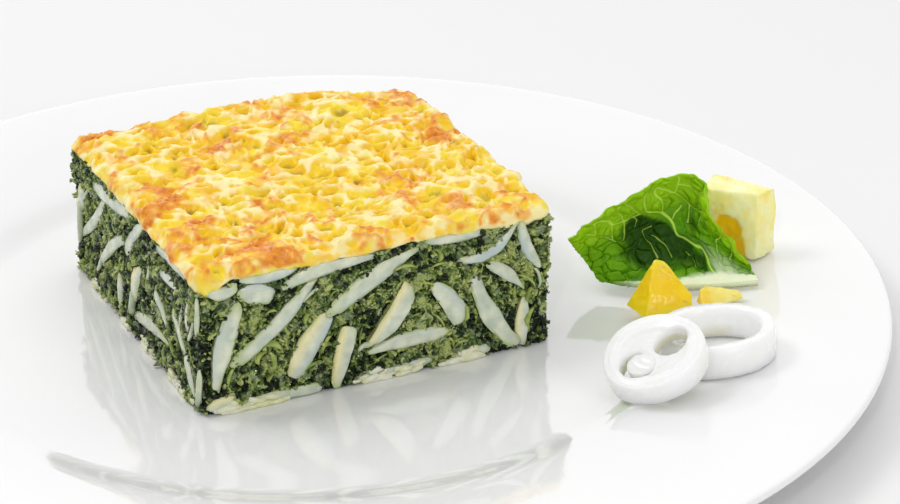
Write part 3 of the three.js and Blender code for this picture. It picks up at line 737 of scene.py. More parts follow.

# %% [markdown]
# ## The chopped spinach
# Cooked spinach is a mass of small crumpled leaves, nearly black in its hollows and bright
# where water sits on it. The core is a block whose sides are lifted into lumps and folds. Over
# it lie thousands of loose bits, one template for each kind, copied with its own size and turn.
# The near black in the hollows and the pale green on the folds are painted shade and painted
# highlights in their colour.

# %% Wet spinach
SPINACH, tree, shader, place = start_material("wet_spinach", IOR=1.33, Coat_Roughness=0.04)
leafy = use_group(tree, MOTTLE, Vector=place, Patches_per_metre=620.0, Balance=0.5, Softness=0.16,
                  First=paint(36, 64, 28), Second=paint(108, 136, 52))
# Painted shade: low shade values, in the hollows, go nearly black.
color = blend_colors(tree, spread(tree, stored(tree, "shade"), 0.1, 0.5, 0.95, 0.0), leafy["Color"],
                     paint(8, 18, 8))
# Painted highlights: high shade values, on raised lumps, folds and creases, go pale green.
color = blend_colors(tree, spread(tree, stored(tree, "shade"), 0.55, 0.95), color, paint(184, 196, 112))
creamy = use_group(tree, MOTTLE, Vector=place, Patches_per_metre=340.0, Balance=0.61, Softness=0.06,
                   First=(0, 0, 0, 1), Second=(1, 1, 1, 1))
color = blend_colors(tree, spread(tree, creamy["Mask"], 0.2, 1.0, 0.0, 0.6), color, paint(172, 188, 142))
tree.links.new(color, shader.inputs["Base Color"])
wet = use_group(tree, MOISTURE, Vector=place, Spots_per_metre=900.0, Wet=0.1, Dry=0.35)
tree.links.new(wet["Roughness"], shader.inputs["Roughness"])
raised = spread(tree, stored(tree, "shade"), 0.2, 0.6, 0.1, 1.0)
water = add_node(tree, "ShaderNodeMath", {0: spread(tree, wet["Film"], 0.1, 0.9, 0.15, 1.0), 1: raised},
                 operation="MULTIPLY")
tree.links.new(water.outputs[0], shader.inputs["Coat Weight"])
crumple = use_group(tree, GRAIN, Vector=place, Grains_per_metre=1400.0, Lumpiness=0.5)
bump(tree, shader, crumple["Height"], 0.0012, 1.0)

# %% Core of the filling
CORE_COLUMNS, CORE_LEVELS = 880, 100
COLUMNS_TO_FRONT, COLUMNS_TO_RIGHT, COLUMNS_TO_BACK = 0.34, 0.5, 0.66
CORE_LIFT = 0.3


def crags(points):
    """Lumps and folds of the cut spinach in millimetres, and how light each one is painted: random tone with painted
    shade in the hollows and painted highlights on lumps, folds and creases.
    """
    warp = np.column_stack([rough(points, 3.0, seed) for seed in (201, 211, 221)])
    bent = points + 1.2 * warp
    near, _, tone = cells(bent * (1, 1, 0.85), 3.4, 231)
    fine_near, fine_far, fine_tone = cells(bent + 0.4 * warp, 1.3, 241)
    fold = (1 - np.abs(ripple(bent, 2.3, 251))) ** 3
    crease = (1 - np.abs(ripple(bent + 0.5 * warp, 1.1, 255))) ** 3
    lump = 1.5 * (0.55 - near) + 0.7 * (0.5 - fine_near) + 0.8 * (fold - 0.5) + 0.5 * (crease - 0.5)
    lump = lump + 0.4 * ripple(points, 9, 261) + 0.15 * ripple(points, 0.7, 265)
    # Painted light: hollows darker, raised lumps, folds and creases lighter, on top of random tone per lump.
    light = 0.25 * tone + 0.3 * fine_tone + 0.4 * lump + 0.3 * fold + 0.3 * crease + 0.24 * ripple(bent, 8, 271)
    return lump, np.clip(0.5 + 1.35 * (light - 0.52), 0, 1)


def belly(height):
    """How far the whole wall swells out at a height."""
    level = height / FILLING_HEIGHT
    return 0.25 + 0.45 * np.cos(level * 7) * smooth(0, 0.1, level)


core = bmesh.new()
bmesh.ops.create_cone(core, cap_ends=True, segments=CORE_COLUMNS, radius1=1, radius2=1, depth=2)
uprights = [e for e in core.edges if abs(e.verts[0].co.z - e.verts[1].co.z) > 1]
bmesh.ops.subdivide_edges(core, edges=uprights, cuts=CORE_LEVELS - 1)
core_mesh = mesh_of(core, "spinach_core")
flat = points_of(core_mesh)
turned = (np.arctan2(flat[:, 1], flat[:, 0]) / (2 * math.pi)) % 1
lap = np.interp(turned, (0, COLUMNS_TO_FRONT, COLUMNS_TO_RIGHT, COLUMNS_TO_BACK, 1), range(5))
side_number = np.floor(lap).astype(int) % 4
along = (lap % 1) * 2 - 1
square = np.stack([[along, -1 + 0 * along], [1 + 0 * along, along], [-along, 1 + 0 * along],
                   [-1 + 0 * along, -along]])[side_number, :, np.arange(len(along))]
wall, normal = filling_wall(square)
level = (flat[:, 2] + 1) / 2
height = mix(CORE_LIFT, underside(wall[:, 0], wall[:, 1]) + 0.1, level)
lump, tone = crags(np.column_stack([wall, height]))
for side in SIDES:
    axis, sign = {"front": (1, -1), "left": (0, -1), "right": (0, 1), "back": (1, 1)}[side]
    here = wall[:, axis] * sign > HALF - WALL_IN - 1.6
    u = wall[:, 1 - axis] + HALF
    for strip in COVERED[side]:
        under_slice = smooth(1.1, 0.9, slice_reach(u, height, strip)) * here
        lump = mix(lump, -1.4, under_slice)
placed = wall + normal * (lump + belly(height))[:, None]
move_points(core_mesh, np.column_stack([BAKE_X + placed[:, 0], BAKE_Y + placed[:, 1], FLOOR_Z + height]))
# The shade value holds random tone, painted shade in the hollows and painted highlights on the folds.
store(core_mesh, "shade", tone * 0.85)
add_piece(core_mesh, SPINACH, ["spinach_filling"])


# %% Scattering bits over the cut sides
def scatter(template, places, turns, sizes, crumple_by, seed):
    """Copies of a template as arrays: points (n, k, 3) with each copy turned and sized."""
    points = np.array([v.co for v in template.verts])
    faces = [[v.index for v in f.verts] for f in template.faces]
    template.free()
    draw = np.random.default_rng(seed)
    shaped = points[None] * (1 + draw.normal(0, crumple_by, (len(places), len(points), 1)))
    shaped = shaped * sizes[:, None]
    quaternions = draw.normal(0, 1, (len(places), 4)) if turns is None else turns
    w, i, j, k = (quaternions / np.linalg.norm(quaternions, axis=1)[:, None]).T
    turn = np.array([
        [1 - 2 * (j * j + k * k), 2 * (i * j - k * w), 2 * (i * k + j * w)],
        [2 * (i * j + k * w), 1 - 2 * (i * i + k * k), 2 * (j * k - i * w)],
        [2 * (i * k - j * w), 2 * (j * k + i * w), 1 - 2 * (i * i + j * j)]]).transpose(2, 0, 1)
    placed = np.einsum("nab,nkb->nka", turn, shaped) + places[:, None]
    return placed.reshape(-1, 3), faces, len(points)


def joined(name, points, faces, per_copy, shades):
    """One mesh of many copies, with the shade of each copy stored at its points."""
    copies = len(points) // per_copy
    mesh = bpy.data.meshes.new(name)
    mesh.from_pydata(points.tolist(), [],
                     [[i + c * per_copy for i in face] for c in range(copies) for face in faces])
    store(mesh, "shade", np.repeat(shades, per_copy))
    return mesh


def spots_on_side(side, count, seed, keep_off=1.0):
    """Random places on a cut side, off the slices, with the side's own relief under them."""
    draw = np.random.default_rng(seed)
    u = draw.uniform(0, BAKE_SIDE, count * 2)
    height = draw.uniform(0.5, FILLING_HEIGHT + 0.6, count * 2)
    flat = on_side(side, u, height, np.full(len(u), WALL_IN)) - (BAKE_X, BAKE_Y, FLOOR_Z)
    clear = height < underside(flat[:, 0], flat[:, 1]) - 0.2
    for strip in COVERED[side]:
        clear &= slice_reach(u, height, strip) > keep_off
    lump, tone = crags(flat[clear][:count])
    return u[clear][:count], height[clear][:count], lump + belly(height[clear][:count]), tone, draw


def crumb_template():
    shape = bmesh.new()
    bmesh.ops.create_cube(shape, size=1)
    bmesh.ops.subdivide_edges(shape, edges=shape.edges, cuts=1, use_grid_fill=True)
    for v in shape.verts:
        v.co = v.co.normalized() * mix(0.5, v.co.length, 0.35)
    return shape


def fold_template():
    """A scrap of leaf, curled over along its length."""
    shape = bmesh.new()
    bmesh.ops.create_grid(shape, x_segments=6, y_segments=3, size=1)
    for v in shape.verts:
        a, b = v.co.x, v.co.y
        v.co = Vector((math.sin(a * 1.1), b * 0.55 * (1 - 0.4 * a * a),
                       0.5 * math.cos(a * 1.1) + 0.2 * math.sin(3 * a + 2 * b)))
    bmesh.ops.solidify(shape, geom=shape.faces, thickness=0.14)
    return shape


BITS_ON_SIDE = {"front": 2100, "left": 1900, "right": 1500, "back": 1500}
FOLDS_ON_SIDE = 520
# Each bit takes the painted shade or highlight of the relief under it, with random tone.
for order, (side, count) in enumerate(BITS_ON_SIDE.items()):
    u, height, lump, tone, draw = spots_on_side(side, FOLDS_ON_SIDE, 450 + order, 1.05)
    places = on_side(side, u, height, WALL_IN - lump - draw.uniform(-0.45, 0.15, len(u)))
    sizes = np.clip(draw.lognormal(-0.25, 0.35, (len(u), 1)), 0.4, 1.3) * (1.15, 1.0, 1.0)
    points, faces, each = scatter(fold_template(), places, None, sizes, 0.1, 460 + order)
    shades = np.clip(tone + draw.normal(0.03, 0.22, len(u)), 0, 1)
    add_piece(joined(f"spinach_folds_{side}", points, faces, each, shades), SPINACH, [])
for order, (side, count) in enumerate(BITS_ON_SIDE.items()):
    u, height, lump, tone, draw = spots_on_side(side, count, 400 + order, 0.96)
    places = on_side(side, u, height, WALL_IN - lump - draw.uniform(-0.4, 0.15, len(u)))
    sizes = draw.lognormal(-0.4, 0.4, (len(u), 1)) * (1.4, 0.75, 0.5) * draw.uniform(0.8, 1.2, (len(u), 3))
    sizes = np.clip(sizes, 0.2, 2.0)
    points, faces, each = scatter(crumb_template(), places, None, sizes, 0.16, 410 + order)
    shades = np.clip(tone + draw.normal(0.02, 0.24, len(u)), 0, 1)
    add_piece(joined(f"spinach_bits_{side}", points, faces, each, shades), SPINACH, [])

# %% [markdown]
# ## Stems and cream
# Pale stems run through the spinach, mostly along the slices beside them, and the cream that
# bound the filling has crept out along the foot. Both are small closed shapes, copied.

# %% Stems and cream
STEMS, tree, shader, place = start_material("spinach_stem", IOR=1.4, Coat_Weight=0.5, Coat_Roughness=0.1)
pith = use_group(tree, MOTTLE, Vector=place, Patches_per_metre=300.0, Softness=0.25,
                 First=paint(110, 136, 40), Second=paint(176, 190, 96))
tree.links.new(pith["Color"], shader.inputs["Base Color"])
sap = use_group(tree, MOISTURE, Vector=place, Spots_per_metre=700.0, Wet=0.12, Dry=0.35)
tree.links.new(sap["Roughness"], shader.inputs["Roughness"])
CREAM, tree, shader, place = start_material(
    "cream", IOR=1.4, Coat_Weight=0.4, Coat_Roughness=0.1)
milk = use_group(tree, MOTTLE, Vector=place, Patches_per_metre=260.0, Softness=0.2,
                 First=paint(234, 234, 212), Second=paint(220, 222, 164))
tree.links.new(milk["Color"], shader.inputs["Base Color"])
wet_milk = use_group(tree, MOISTURE, Vector=place, Spots_per_metre=400.0, Wet=0.15, Dry=0.4)
tree.links.new(wet_milk["Roughness"], shader.inputs["Roughness"])

STEMS_ON_SIDE = {"front": 30, "left": 36, "right": 30, "back": 30}
OUT_OF_SIDE = {"front": (0, -1, 0), "left": (-1, 0, 0), "right": (1, 0, 0), "back": (0, 1, 0)}
ALONG_SIDE = {"front": (1, 0, 0), "left": (0, 1, 0), "right": (0, 1, 0), "back": (1, 0, 0)}


def stem_template():
    """A thin stem one unit long along X, bent a little, with rounded ends."""
    shape = bmesh.new()
    bmesh.ops.create_uvsphere(shape, u_segments=6, v_segments=10, radius=0.5,
                              matrix=Matrix.Rotation(math.pi / 2, 4, "Y"))
    for v in shape.verts:
        squared = math.sin(v.co.x * math.pi) * 0.5
        bend = 0.9 * math.cos(v.co.x * 4)
        v.co = Vector((squared, v.co.y + bend, v.co.z + 0.4 * bend))
    return shape


def laid_along(side, slopes):
    """Turns that lay a template's X along a side at each slope, and its Z out of the side."""
    out, level = Vector(OUT_OF_SIDE[side]), Vector(ALONG_SIDE[side])
    turns = []
    for slope in np.radians(slopes):
        way = level * math.cos(slope) + Vector((0, 0, 1)) * math.sin(slope)
        turns.append(Matrix((way, out.cross(way), out)).transposed().to_quaternion())
    return np.array(turns)


for order, (side, count) in enumerate(STEMS_ON_SIDE.items()):
    u, height, lump, tone, draw = spots_on_side(side, count * 3, 480 + order, 1.15)
    inner = (u > 5) & (u < BAKE_SIDE - 5) & (height > 5) & (height < 31)
    u, height, lump = u[inner][:count], height[inner][:count], lump[inner][:count]
    strips = np.array(SIDES[side])
    beside = np.hypot(strips[:, 0] - u[:, None], strips[:, 1] - height[:, None]).argmin(1)
    turns = laid_along(side, strips[beside, 2] + draw.normal(0, 18, len(u)))
    places = on_side(side, u, height, WALL_IN - lump + 0.1)
    width = draw.uniform(0.5, 1.1, len(u))
    sizes = np.column_stack([draw.uniform(2.5, 6.5, len(u)), width, width * 0.8])
    points, faces, each = scatter(stem_template(), places, turns, sizes, 0.06, 490 + order)
    add_piece(joined(f"spinach_stems_{side}", points, faces, each, width), STEMS, [])

CLUMPS = {"front": [(18.6, 14.6, -26, 6, 1.7), (17.3, 11.5, -88, 6, 1.6), (15.5, 13, 60, 4, 1.4), (70.1, 13.2, -86, 6, 1.2),
                    (72.9, 11.9, -79, 6, 1.2), (89.3, 7.5, 78, 7, 1.6), (62.6, 31.0, -70, 4.5, 1.4),
                    (33.0, 12.2, 58, 8, 1.1), (7.6, 9.2, 72, 6, 1.1), (28, 21.4, 60, 3.5, 1.2), (89, 14.5, 70, 4, 1.3)],
          "left": [(21, 9.7, 40, 8, 1.3), (62.5, 15, -12, 5, 2.2), (46.2, 24.0, -5, 3.2, 2.2), (30.2, 27, 30, 4, 1.6),
                   (84, 6, -60, 5, 1.8), (26, 5, 60, 5, 1.2)]}
for order, (side, clump) in enumerate(CLUMPS.items()):
    u, height, slope, long, width = np.array(clump, float).T
    flat = on_side(side, u, height, np.full(len(u), WALL_IN)) - (BAKE_X, BAKE_Y, FLOOR_Z)
    places = on_side(side, u, height, WALL_IN - crags(flat)[0] - belly(height) + 0.1)
    sizes = np.column_stack([long, width, width])
    points, faces, each = scatter(stem_template(), places, laid_along(side, slope), sizes, 0.09, 500 + order)
    add_piece(joined(f"spinach_stalks_{side}", points, faces, each, width), STEMS, [])
for order, (side, slivers) in enumerate(SLIVERS.items()):
    u, height, slope, long, width = np.array(slivers, float).T
    places = on_side(side, u, height, np.full(len(u), 0.1))
    sizes = np.column_stack([long, width, width * 0.9])
    points, faces, each = scatter(stem_template(), places, laid_along(side, slope), sizes, 0.05, 510 + order)
    sliver_mesh = joined(f"potato_slivers_{side}", points, faces, each, width)
    store(sliver_mesh, "stain", np.full(len(points), 0.25))
    add_piece(sliver_mesh, POTATO, [])

CREAM_SPANS = {"front": [(3, 22), (40, 60), (64, 78)], "left": [(6, 24), (34, 44), (52, 58), (70, 84)],
               "right": [(10, 30), (55, 80)], "back": [(5, 25), (48, 66)]}
for order, (side, spans) in enumerate(CREAM_SPANS.items()):
    draw = np.random.default_rng(520 + order)
    u = np.concatenate([draw.triangular(a, draw.uniform(a, b), b, int((b - a) * 2.6)) for a, b in spans])
    height = draw.gamma(1.3, 0.6, len(u)) + 0.2
    places = on_side(side, u, height, WALL_IN - draw.uniform(0.0, 0.8, len(u)))
    sizes = draw.uniform(0.8, 2.3, (len(u), 1)) * (2.2, 0.8, 0.7)
    turns = laid_along(side, draw.normal(0, 10, len(u)))
    points, faces, each = scatter(crumb_template(), places, turns, sizes, 0.05, 530 + order)
    points[:, 2] = np.maximum(points[:, 2], FLOOR_Z + 0.05)
    add_piece(joined(f"cream_{side}", points, faces, each, height), CREAM, [])

# %% [markdown]
# ## The lettuce leaf
# The leaf stands on its white rib and leans back, cupped. It is a sheet between the rib and
# the wavy edge, found by going from a point on one line to its partner on the other. Veins are
# a branching net that sinks into the sheet while the cells between them swell.

# %% Leaf lines
RIB_LINE = [(74.4, -20.5, 9.9), (82.6, -28.5, 10), (89, -33, 10.2), (96, -36.5, 10.5),
            (103, -39.5, 10.9), (109.6, -42.2, 11.4)]
LEAF_EDGE = [(68.4, -13.8, 20.4), (78.9, -12.4, 24.4), (85.6, -13.4, 28), (93.4, -15, 32),
             (99, -16.4, 34), (103.2, -18.4, 33.8), (105, -21.6, 31.8), (103, -25.6, 29.2),
             (102.7, -30, 25.8), (106.5, -34.9, 19.4), (109, -38, 15.2)]
VEINS = [
    (0.95, [(0.78, 0.0), (0.72, 0.2), (0.69, 0.34), (0.62, 0.33), (0.56, 0.36), (0.52, 0.4), (0.49, 0.52), (0.45, 0.59)]),
    (0.65, [(0.45, 0.59), (0.38, 0.67), (0.34, 0.67), (0.27, 0.68), (0.21, 0.73), (0.19, 0.84), (0.13, 0.93)]),
    (0.45, [(0.38, 0.67), (0.37, 0.78), (0.37, 0.89), (0.39, 0.97)]),
    (0.5, [(0.45, 0.6), (0.45, 0.69), (0.42, 0.82), (0.42, 0.91), (0.46, 0.84), (0.51, 0.78), (0.51, 0.85), (0.5, 0.97)]),
    (0.5, [(0.51, 0.78), (0.54, 0.71), (0.57, 0.67), (0.63, 0.68), (0.7, 0.82)]),
    (0.42, [(0.51, 0.86), (0.55, 0.86), (0.6, 0.84), (0.64, 0.92)]),
    (0.42, [(0.6, 0.84), (0.62, 0.79), (0.64, 0.7), (0.64, 0.52)]),
    (0.45, [(0.5, 0.54), (0.52, 0.58), (0.54, 0.64)]),
    (0.42, [(0.34, 0.67), (0.32, 0.76), (0.29, 0.87), (0.24, 0.96)]),
    (0.42, [(0.27, 0.68), (0.25, 0.8), (0.24, 0.96)]),
    (0.48, [(0.21, 0.73), (0.2, 0.62), (0.19, 0.5), (0.24, 0.45), (0.26, 0.57), (0.27, 0.68)]),
    (0.48, [(0.19, 0.5), (0.15, 0.6), (0.12, 0.67)]),
    (0.45, [(0.13, 0.93), (0.12, 0.81), (0.11, 0.7), (0.07, 0.81), (0.03, 0.77), (0.01, 0.68)]),
    (0.48, [(0.41, 0.22), (0.38, 0.33), (0.35, 0.44), (0.35, 0.48), (0.4, 0.49)]),
    (0.48, [(0.49, 0.22), (0.46, 0.3), (0.43, 0.35), (0.4, 0.42)]),
    (0.42, [(0.62, 0.15), (0.6, 0.22), (0.57, 0.27)]),
    (0.5, [(0.57, 0.67), (0.58, 0.56), (0.58, 0.5)]),
    (0.5, [(0.31, 0.55), (0.32, 0.61), (0.31, 0.67)]),
    (0.5, [(0.83, 0.04), (0.8, 0.3), (0.8, 0.6), (0.84, 0.9)]),
    (0.45, [(0.9, 0.05), (0.88, 0.4), (0.9, 0.85)]),
]


def smooth_line(points, fine=40):
    """A curve through the points, with the share of its length at each step."""
    p = np.array(points, float)
    p = np.vstack([2 * p[0] - p[1], p, 2 * p[-1] - p[-2]])
    t = np.linspace(0, 1, fine, endpoint=False)[:, None]
    parts = [0.5 * (2 * b + (c - a) * t + (2 * a - 5 * b + 4 * c - d) * t**2 + (3 * b - a - 3 * c + d) * t**3)
             for a, b, c, d in zip(p, p[1:], p[2:], p[3:])]
    line = np.vstack([*parts, p[-2]])
    share = np.r_[0, np.cumsum(np.linalg.norm(np.diff(line, axis=0), axis=1))]
    return share / share[-1], line


def at_share(curve, share):
    return np.column_stack([np.interp(share, curve[0], curve[1][:, k]) for k in range(curve[1].shape[1])])


RIB_CURVE, EDGE_CURVE = smooth_line(RIB_LINE), smooth_line(LEAF_EDGE)


def leaf_sheet(along, up):
    foot, tip = at_share(RIB_CURVE, along), at_share(EDGE_CURVE, along)
    point = mix(foot, tip, up[:, None])
    back = 6 * np.sin(np.pi * up) * np.sin(np.pi * mix(0.12, 0.94, along))
    bubbles = 0.7 * np.sin(along * 27) * np.sin(up * 9.5 + 1) * smooth(0.05, 0.3, up)
    point[:, 0] += 0.25 * (back + bubbles)
    point[:, 1] += back + bubbles
    return point


def vein_distance(along, up):
    """Distance to the nearest vein in heights of the leaf, less for a strong vein."""
    nearest = np.full(len(along), 9.0)
    spot = np.column_stack([along * 1.6, up])
    for strength, points in VEINS:
        line = smooth_line(points, 10)[1] * (1.6, 1)
        for a, b in zip(line, line[1:]):
            part = np.clip(((spot - a) @ (b - a)) / max((b - a) @ (b - a), 1e-9), 0, 1)
            away = np.linalg.norm(spot - (a + part[:, None] * (b - a)), axis=1)
            nearest = np.minimum(nearest, away / strength)
    return nearest


# %% Leaf mesh
LEAF_COLUMNS, LEAF_ROWS = 264, 174
blade = bmesh.new()
bmesh.ops.create_grid(blade, x_segments=LEAF_COLUMNS, y_segments=LEAF_ROWS, size=1)
grid = np.array([v.co for v in blade.verts])
along, up = (grid[:, 0] + 1) / 2, (grid[:, 1] + 1) / 2
plane = np.column_stack([along * 11, up * 7, along * 0])
away = vein_distance(along + 0.006 * ripple(plane, 0.6, 501), up + 0.01 * ripple(plane, 0.6, 502))
near, far, _ = cells(plane + 0.25 * np.column_stack([rough(plane, 1.2, s) for s in (503, 504, 505)]) * (1, 1, 0),
                     0.9, 506)
net = smooth(0.12, 0.02, far - near)
vein = np.maximum(smooth(0.02, 0.006, away), 0.25 * net * smooth(0.05, 0.2, up))
puff = smooth(0.0, 0.09, away) * smooth(0.0, 0.3, far - near)
centre = leaf_sheet(along, up)
step = 0.004
sideways = leaf_sheet(np.minimum(along + step, 1), up) - leaf_sheet(np.maximum(along - step, 0), up)
upwards = leaf_sheet(along, np.minimum(up + step, 1)) - leaf_sheet(along, np.maximum(up - step, 0))
normal = np.cross(sideways, upwards)
normal /= np.linalg.norm(normal, axis=1)[:, None]
rib_height = mix(0.05, 0.24, smooth(0.35, 1.0, along))
ribbed = smooth(rib_height, rib_height * 0.3, up) * smooth(0.02, 0.4, along)
aside = along - np.interp(up, (0, 0.2, 0.34, 0.6), (0.78, 0.72, 0.67, 0.6))
aside = aside + 0.02 * ripple(plane, 1.3, 516)
streaks = ripple(np.column_stack([7 * aside / (up + 0.3), 1.5 * up, up * 0]), 1, 512)
fans = smooth(0.6, 0.05, up) * smooth(-0.05, 0.07, aside) * mix(0.35, 1, smooth(-0.5, 0.6, streaks))
frill = smooth(0.8, 1.0, up) * (0.9 * np.sin(along * 60 + 2 * ripple(plane, 2, 507)) + 0.6 * ripple(plane, 0.8, 508))
lift = 0.75 * (puff - 0.6) * (1 - ribbed) + 0.35 * rough(plane, 1.6, 509) * (1 - ribbed) + 0.6 * frill
thick = mix(0.28, 1.4, ribbed) + 0.18 * vein * (1 - ribbed)
fronts, backs = (centre + normal * (lift + sign * thick)[:, None] for sign in (1, -1))
vein_along, vein_up = np.array(VEINS[1][1][::-1] + VEINS[0][1][::-1]).T
below = smooth(0.04, -0.1, up - np.interp(along, vein_along, vein_up) + 0.05 * ripple(plane, 1.2, 513))
patch = np.exp(-(((along - 0.6) / 0.08) ** 2) - ((up - 0.5) / 0.16) ** 2)
shadow = below * smooth(0.12, 0.3, along) * smooth(-0.05, 0.25, up) + 0.8 * patch
shadow = shadow * smooth(0.08, -0.06, aside) + 0.12 * ripple(plane, 0.7, 515)
# Painted light: the upper leaf is painted brighter as if lit through from behind, and the swollen cells get a painted
# highlight.
bright = smooth(0.5, 0.85, up + 0.25 * (0.4 - along)) + 0.25 * puff

leaf_mesh = mesh_of(blade, "lettuce")
move_points(leaf_mesh, centre + normal * lift[:, None])
store(leaf_mesh, "vein", vein * (1 - 0.4 * np.clip(shadow, 0, 1)))
store(leaf_mesh, "bright", np.clip(bright, 0, 1))
store(leaf_mesh, "shadow", np.clip(shadow, 0, 1))
store(leaf_mesh, "rib", np.clip(ribbed + 0.6 * fans, 0, 1))

# %% Lettuce
LETTUCE, tree, shader, place = start_material(
    "lettuce_leaf", Subsurface_Weight=0.35, Subsurface_Scale=0.001, IOR=1.22)
shader.inputs["Subsurface Radius"].default_value = (0.4, 1.0, 0.05)
green = use_group(tree, MOTTLE, Vector=place, Patches_per_metre=380.0, Softness=0.25,
                  First=paint(66, 132, 0), Second=paint(98, 156, 0))
# Painted backlight and highlights: bright yellow-green on the upper leaf and on the swollen cells.
color = blend_colors(tree, stored(tree, "bright"), green["Color"], paint(148, 198, 16))
color = blend_colors(tree, spread(tree, stored(tree, "shadow"), 0.35, 0.95, 0.0, 0.9), color, paint(10, 52, 0))
color = blend_colors(tree, spread(tree, stored(tree, "vein"), 0.1, 0.9, 0.0, 0.85), color, paint(196, 226, 88))
color = blend_colors(tree, spread(tree, stored(tree, "rib"), 0.05, 0.85, ease="LINEAR"), color, paint(238, 246, 212))
tree.links.new(color, shader.inputs["Base Color"])
dew = use_group(tree, MOISTURE, Vector=place, Spots_per_metre=260.0, Wet=0.25, Dry=0.45)
tree.links.new(dew["Roughness"], shader.inputs["Roughness"])
cells_of_leaf = use_group(tree, GRAIN, Vector=place, Grains_per_metre=1100.0, Lumpiness=0.6)
bump(tree, shader, cells_of_leaf["Height"], 0.0003, 0.7)
leaf = add_piece(leaf_mesh, LETTUCE, ["lettuce_leaf"])
THICKEST = 2.9
group = leaf.vertex_groups.new(name="thickness")
for index, value in enumerate(np.clip(2 * thick / THICKEST, 0, 1)):
    group.add([index], float(value), "REPLACE")
shell = leaf.modifiers.new("thickness", "SOLIDIFY")
shell.thickness, shell.offset, shell.vertex_group = THICKEST * MM, 0, group.name

# %% [markdown]
# ## The cheese
# A knife left flat faces and edges that are a little blunt. Each chunk is the hull of its
# corners, bevelled, then cut finer so that its faces can be uneven. The block has a hollow in
# the face that looks at the leaf.

# %% Cheese
CHEESE, tree, shader, place = start_material(
    "yellow_cheese", Subsurface_Weight=0.5, Subsurface_Scale=0.004, IOR=1.45, Coat_Weight=0.2,
    Coat_Roughness=0.2)
shader.inputs["Subsurface Radius"].default_value = (1.0, 0.8, 0.15)
paste = use_group(tree, MOTTLE, Vector=place, Patches_per_metre=150.0, Softness=0.3,
                  First=paint(254, 208, 0), Second=paint(255, 220, 16))
color = blend_colors(tree, stored(tree, "pale"), paste["Color"], paint(255, 252, 190))
# Deep orange: painted shade inside the block's hollow, and random amber patches on the wedge and the chip.
color = blend_colors(tree, stored(tree, "deep"), color, paint(255, 204, 0))
tree.links.new(color, shader.inputs["Base Color"])
oily = use_group(tree, MOISTURE, Vector=place, Spots_per_metre=200.0, Wet=0.25, Dry=0.5)
tree.links.new(oily["Roughness"], shader.inputs["Roughness"])
curd = use_group(tree, GRAIN, Vector=place, Grains_per_metre=700.0, Lumpiness=0.4)
bump(tree, shader, curd["Height"], 0.0002, 0.5)

CHUNKS = {
    "cheese_block": [(105, -20.4, 10.2), (116.4, -29.2, 10.8), (123.8, -26.2, 11.3), (112.6, -11.8, 11),
                     (105.4, -19.8, 30), (116.6, -28.8, 29.6), (123.6, -26, 29), (112, -12.4, 30.4)],
    "cheese_wedge": [(74.3, -34.8, 9.3), (75.2, -44.6, 9.3), (87.6, -46.2, 9.7), (86, -37.4, 9.6),
                     (89.4, -43.2, 13.2), (82, -36.6, 21.7), (84.8, -36.6, 20.8)],
    "cheese_chip": [(90.6, -43, 10.2), (90.2, -47.6, 10.2), (102.8, -47.4, 10.8), (101, -43.4, 10.7),
                    (91.4, -44, 14.6), (93.8, -42.8, 14.6), (102, -45.4, 12.4)],
}
HOLLOW_AT, HOLLOW_TURN = (109.4, -25.4, 10.5), -0.6
HOLLOW_WIDE, HOLLOW_TALL, HOLLOW_DEEP = 5.4, 11.5, 1.2


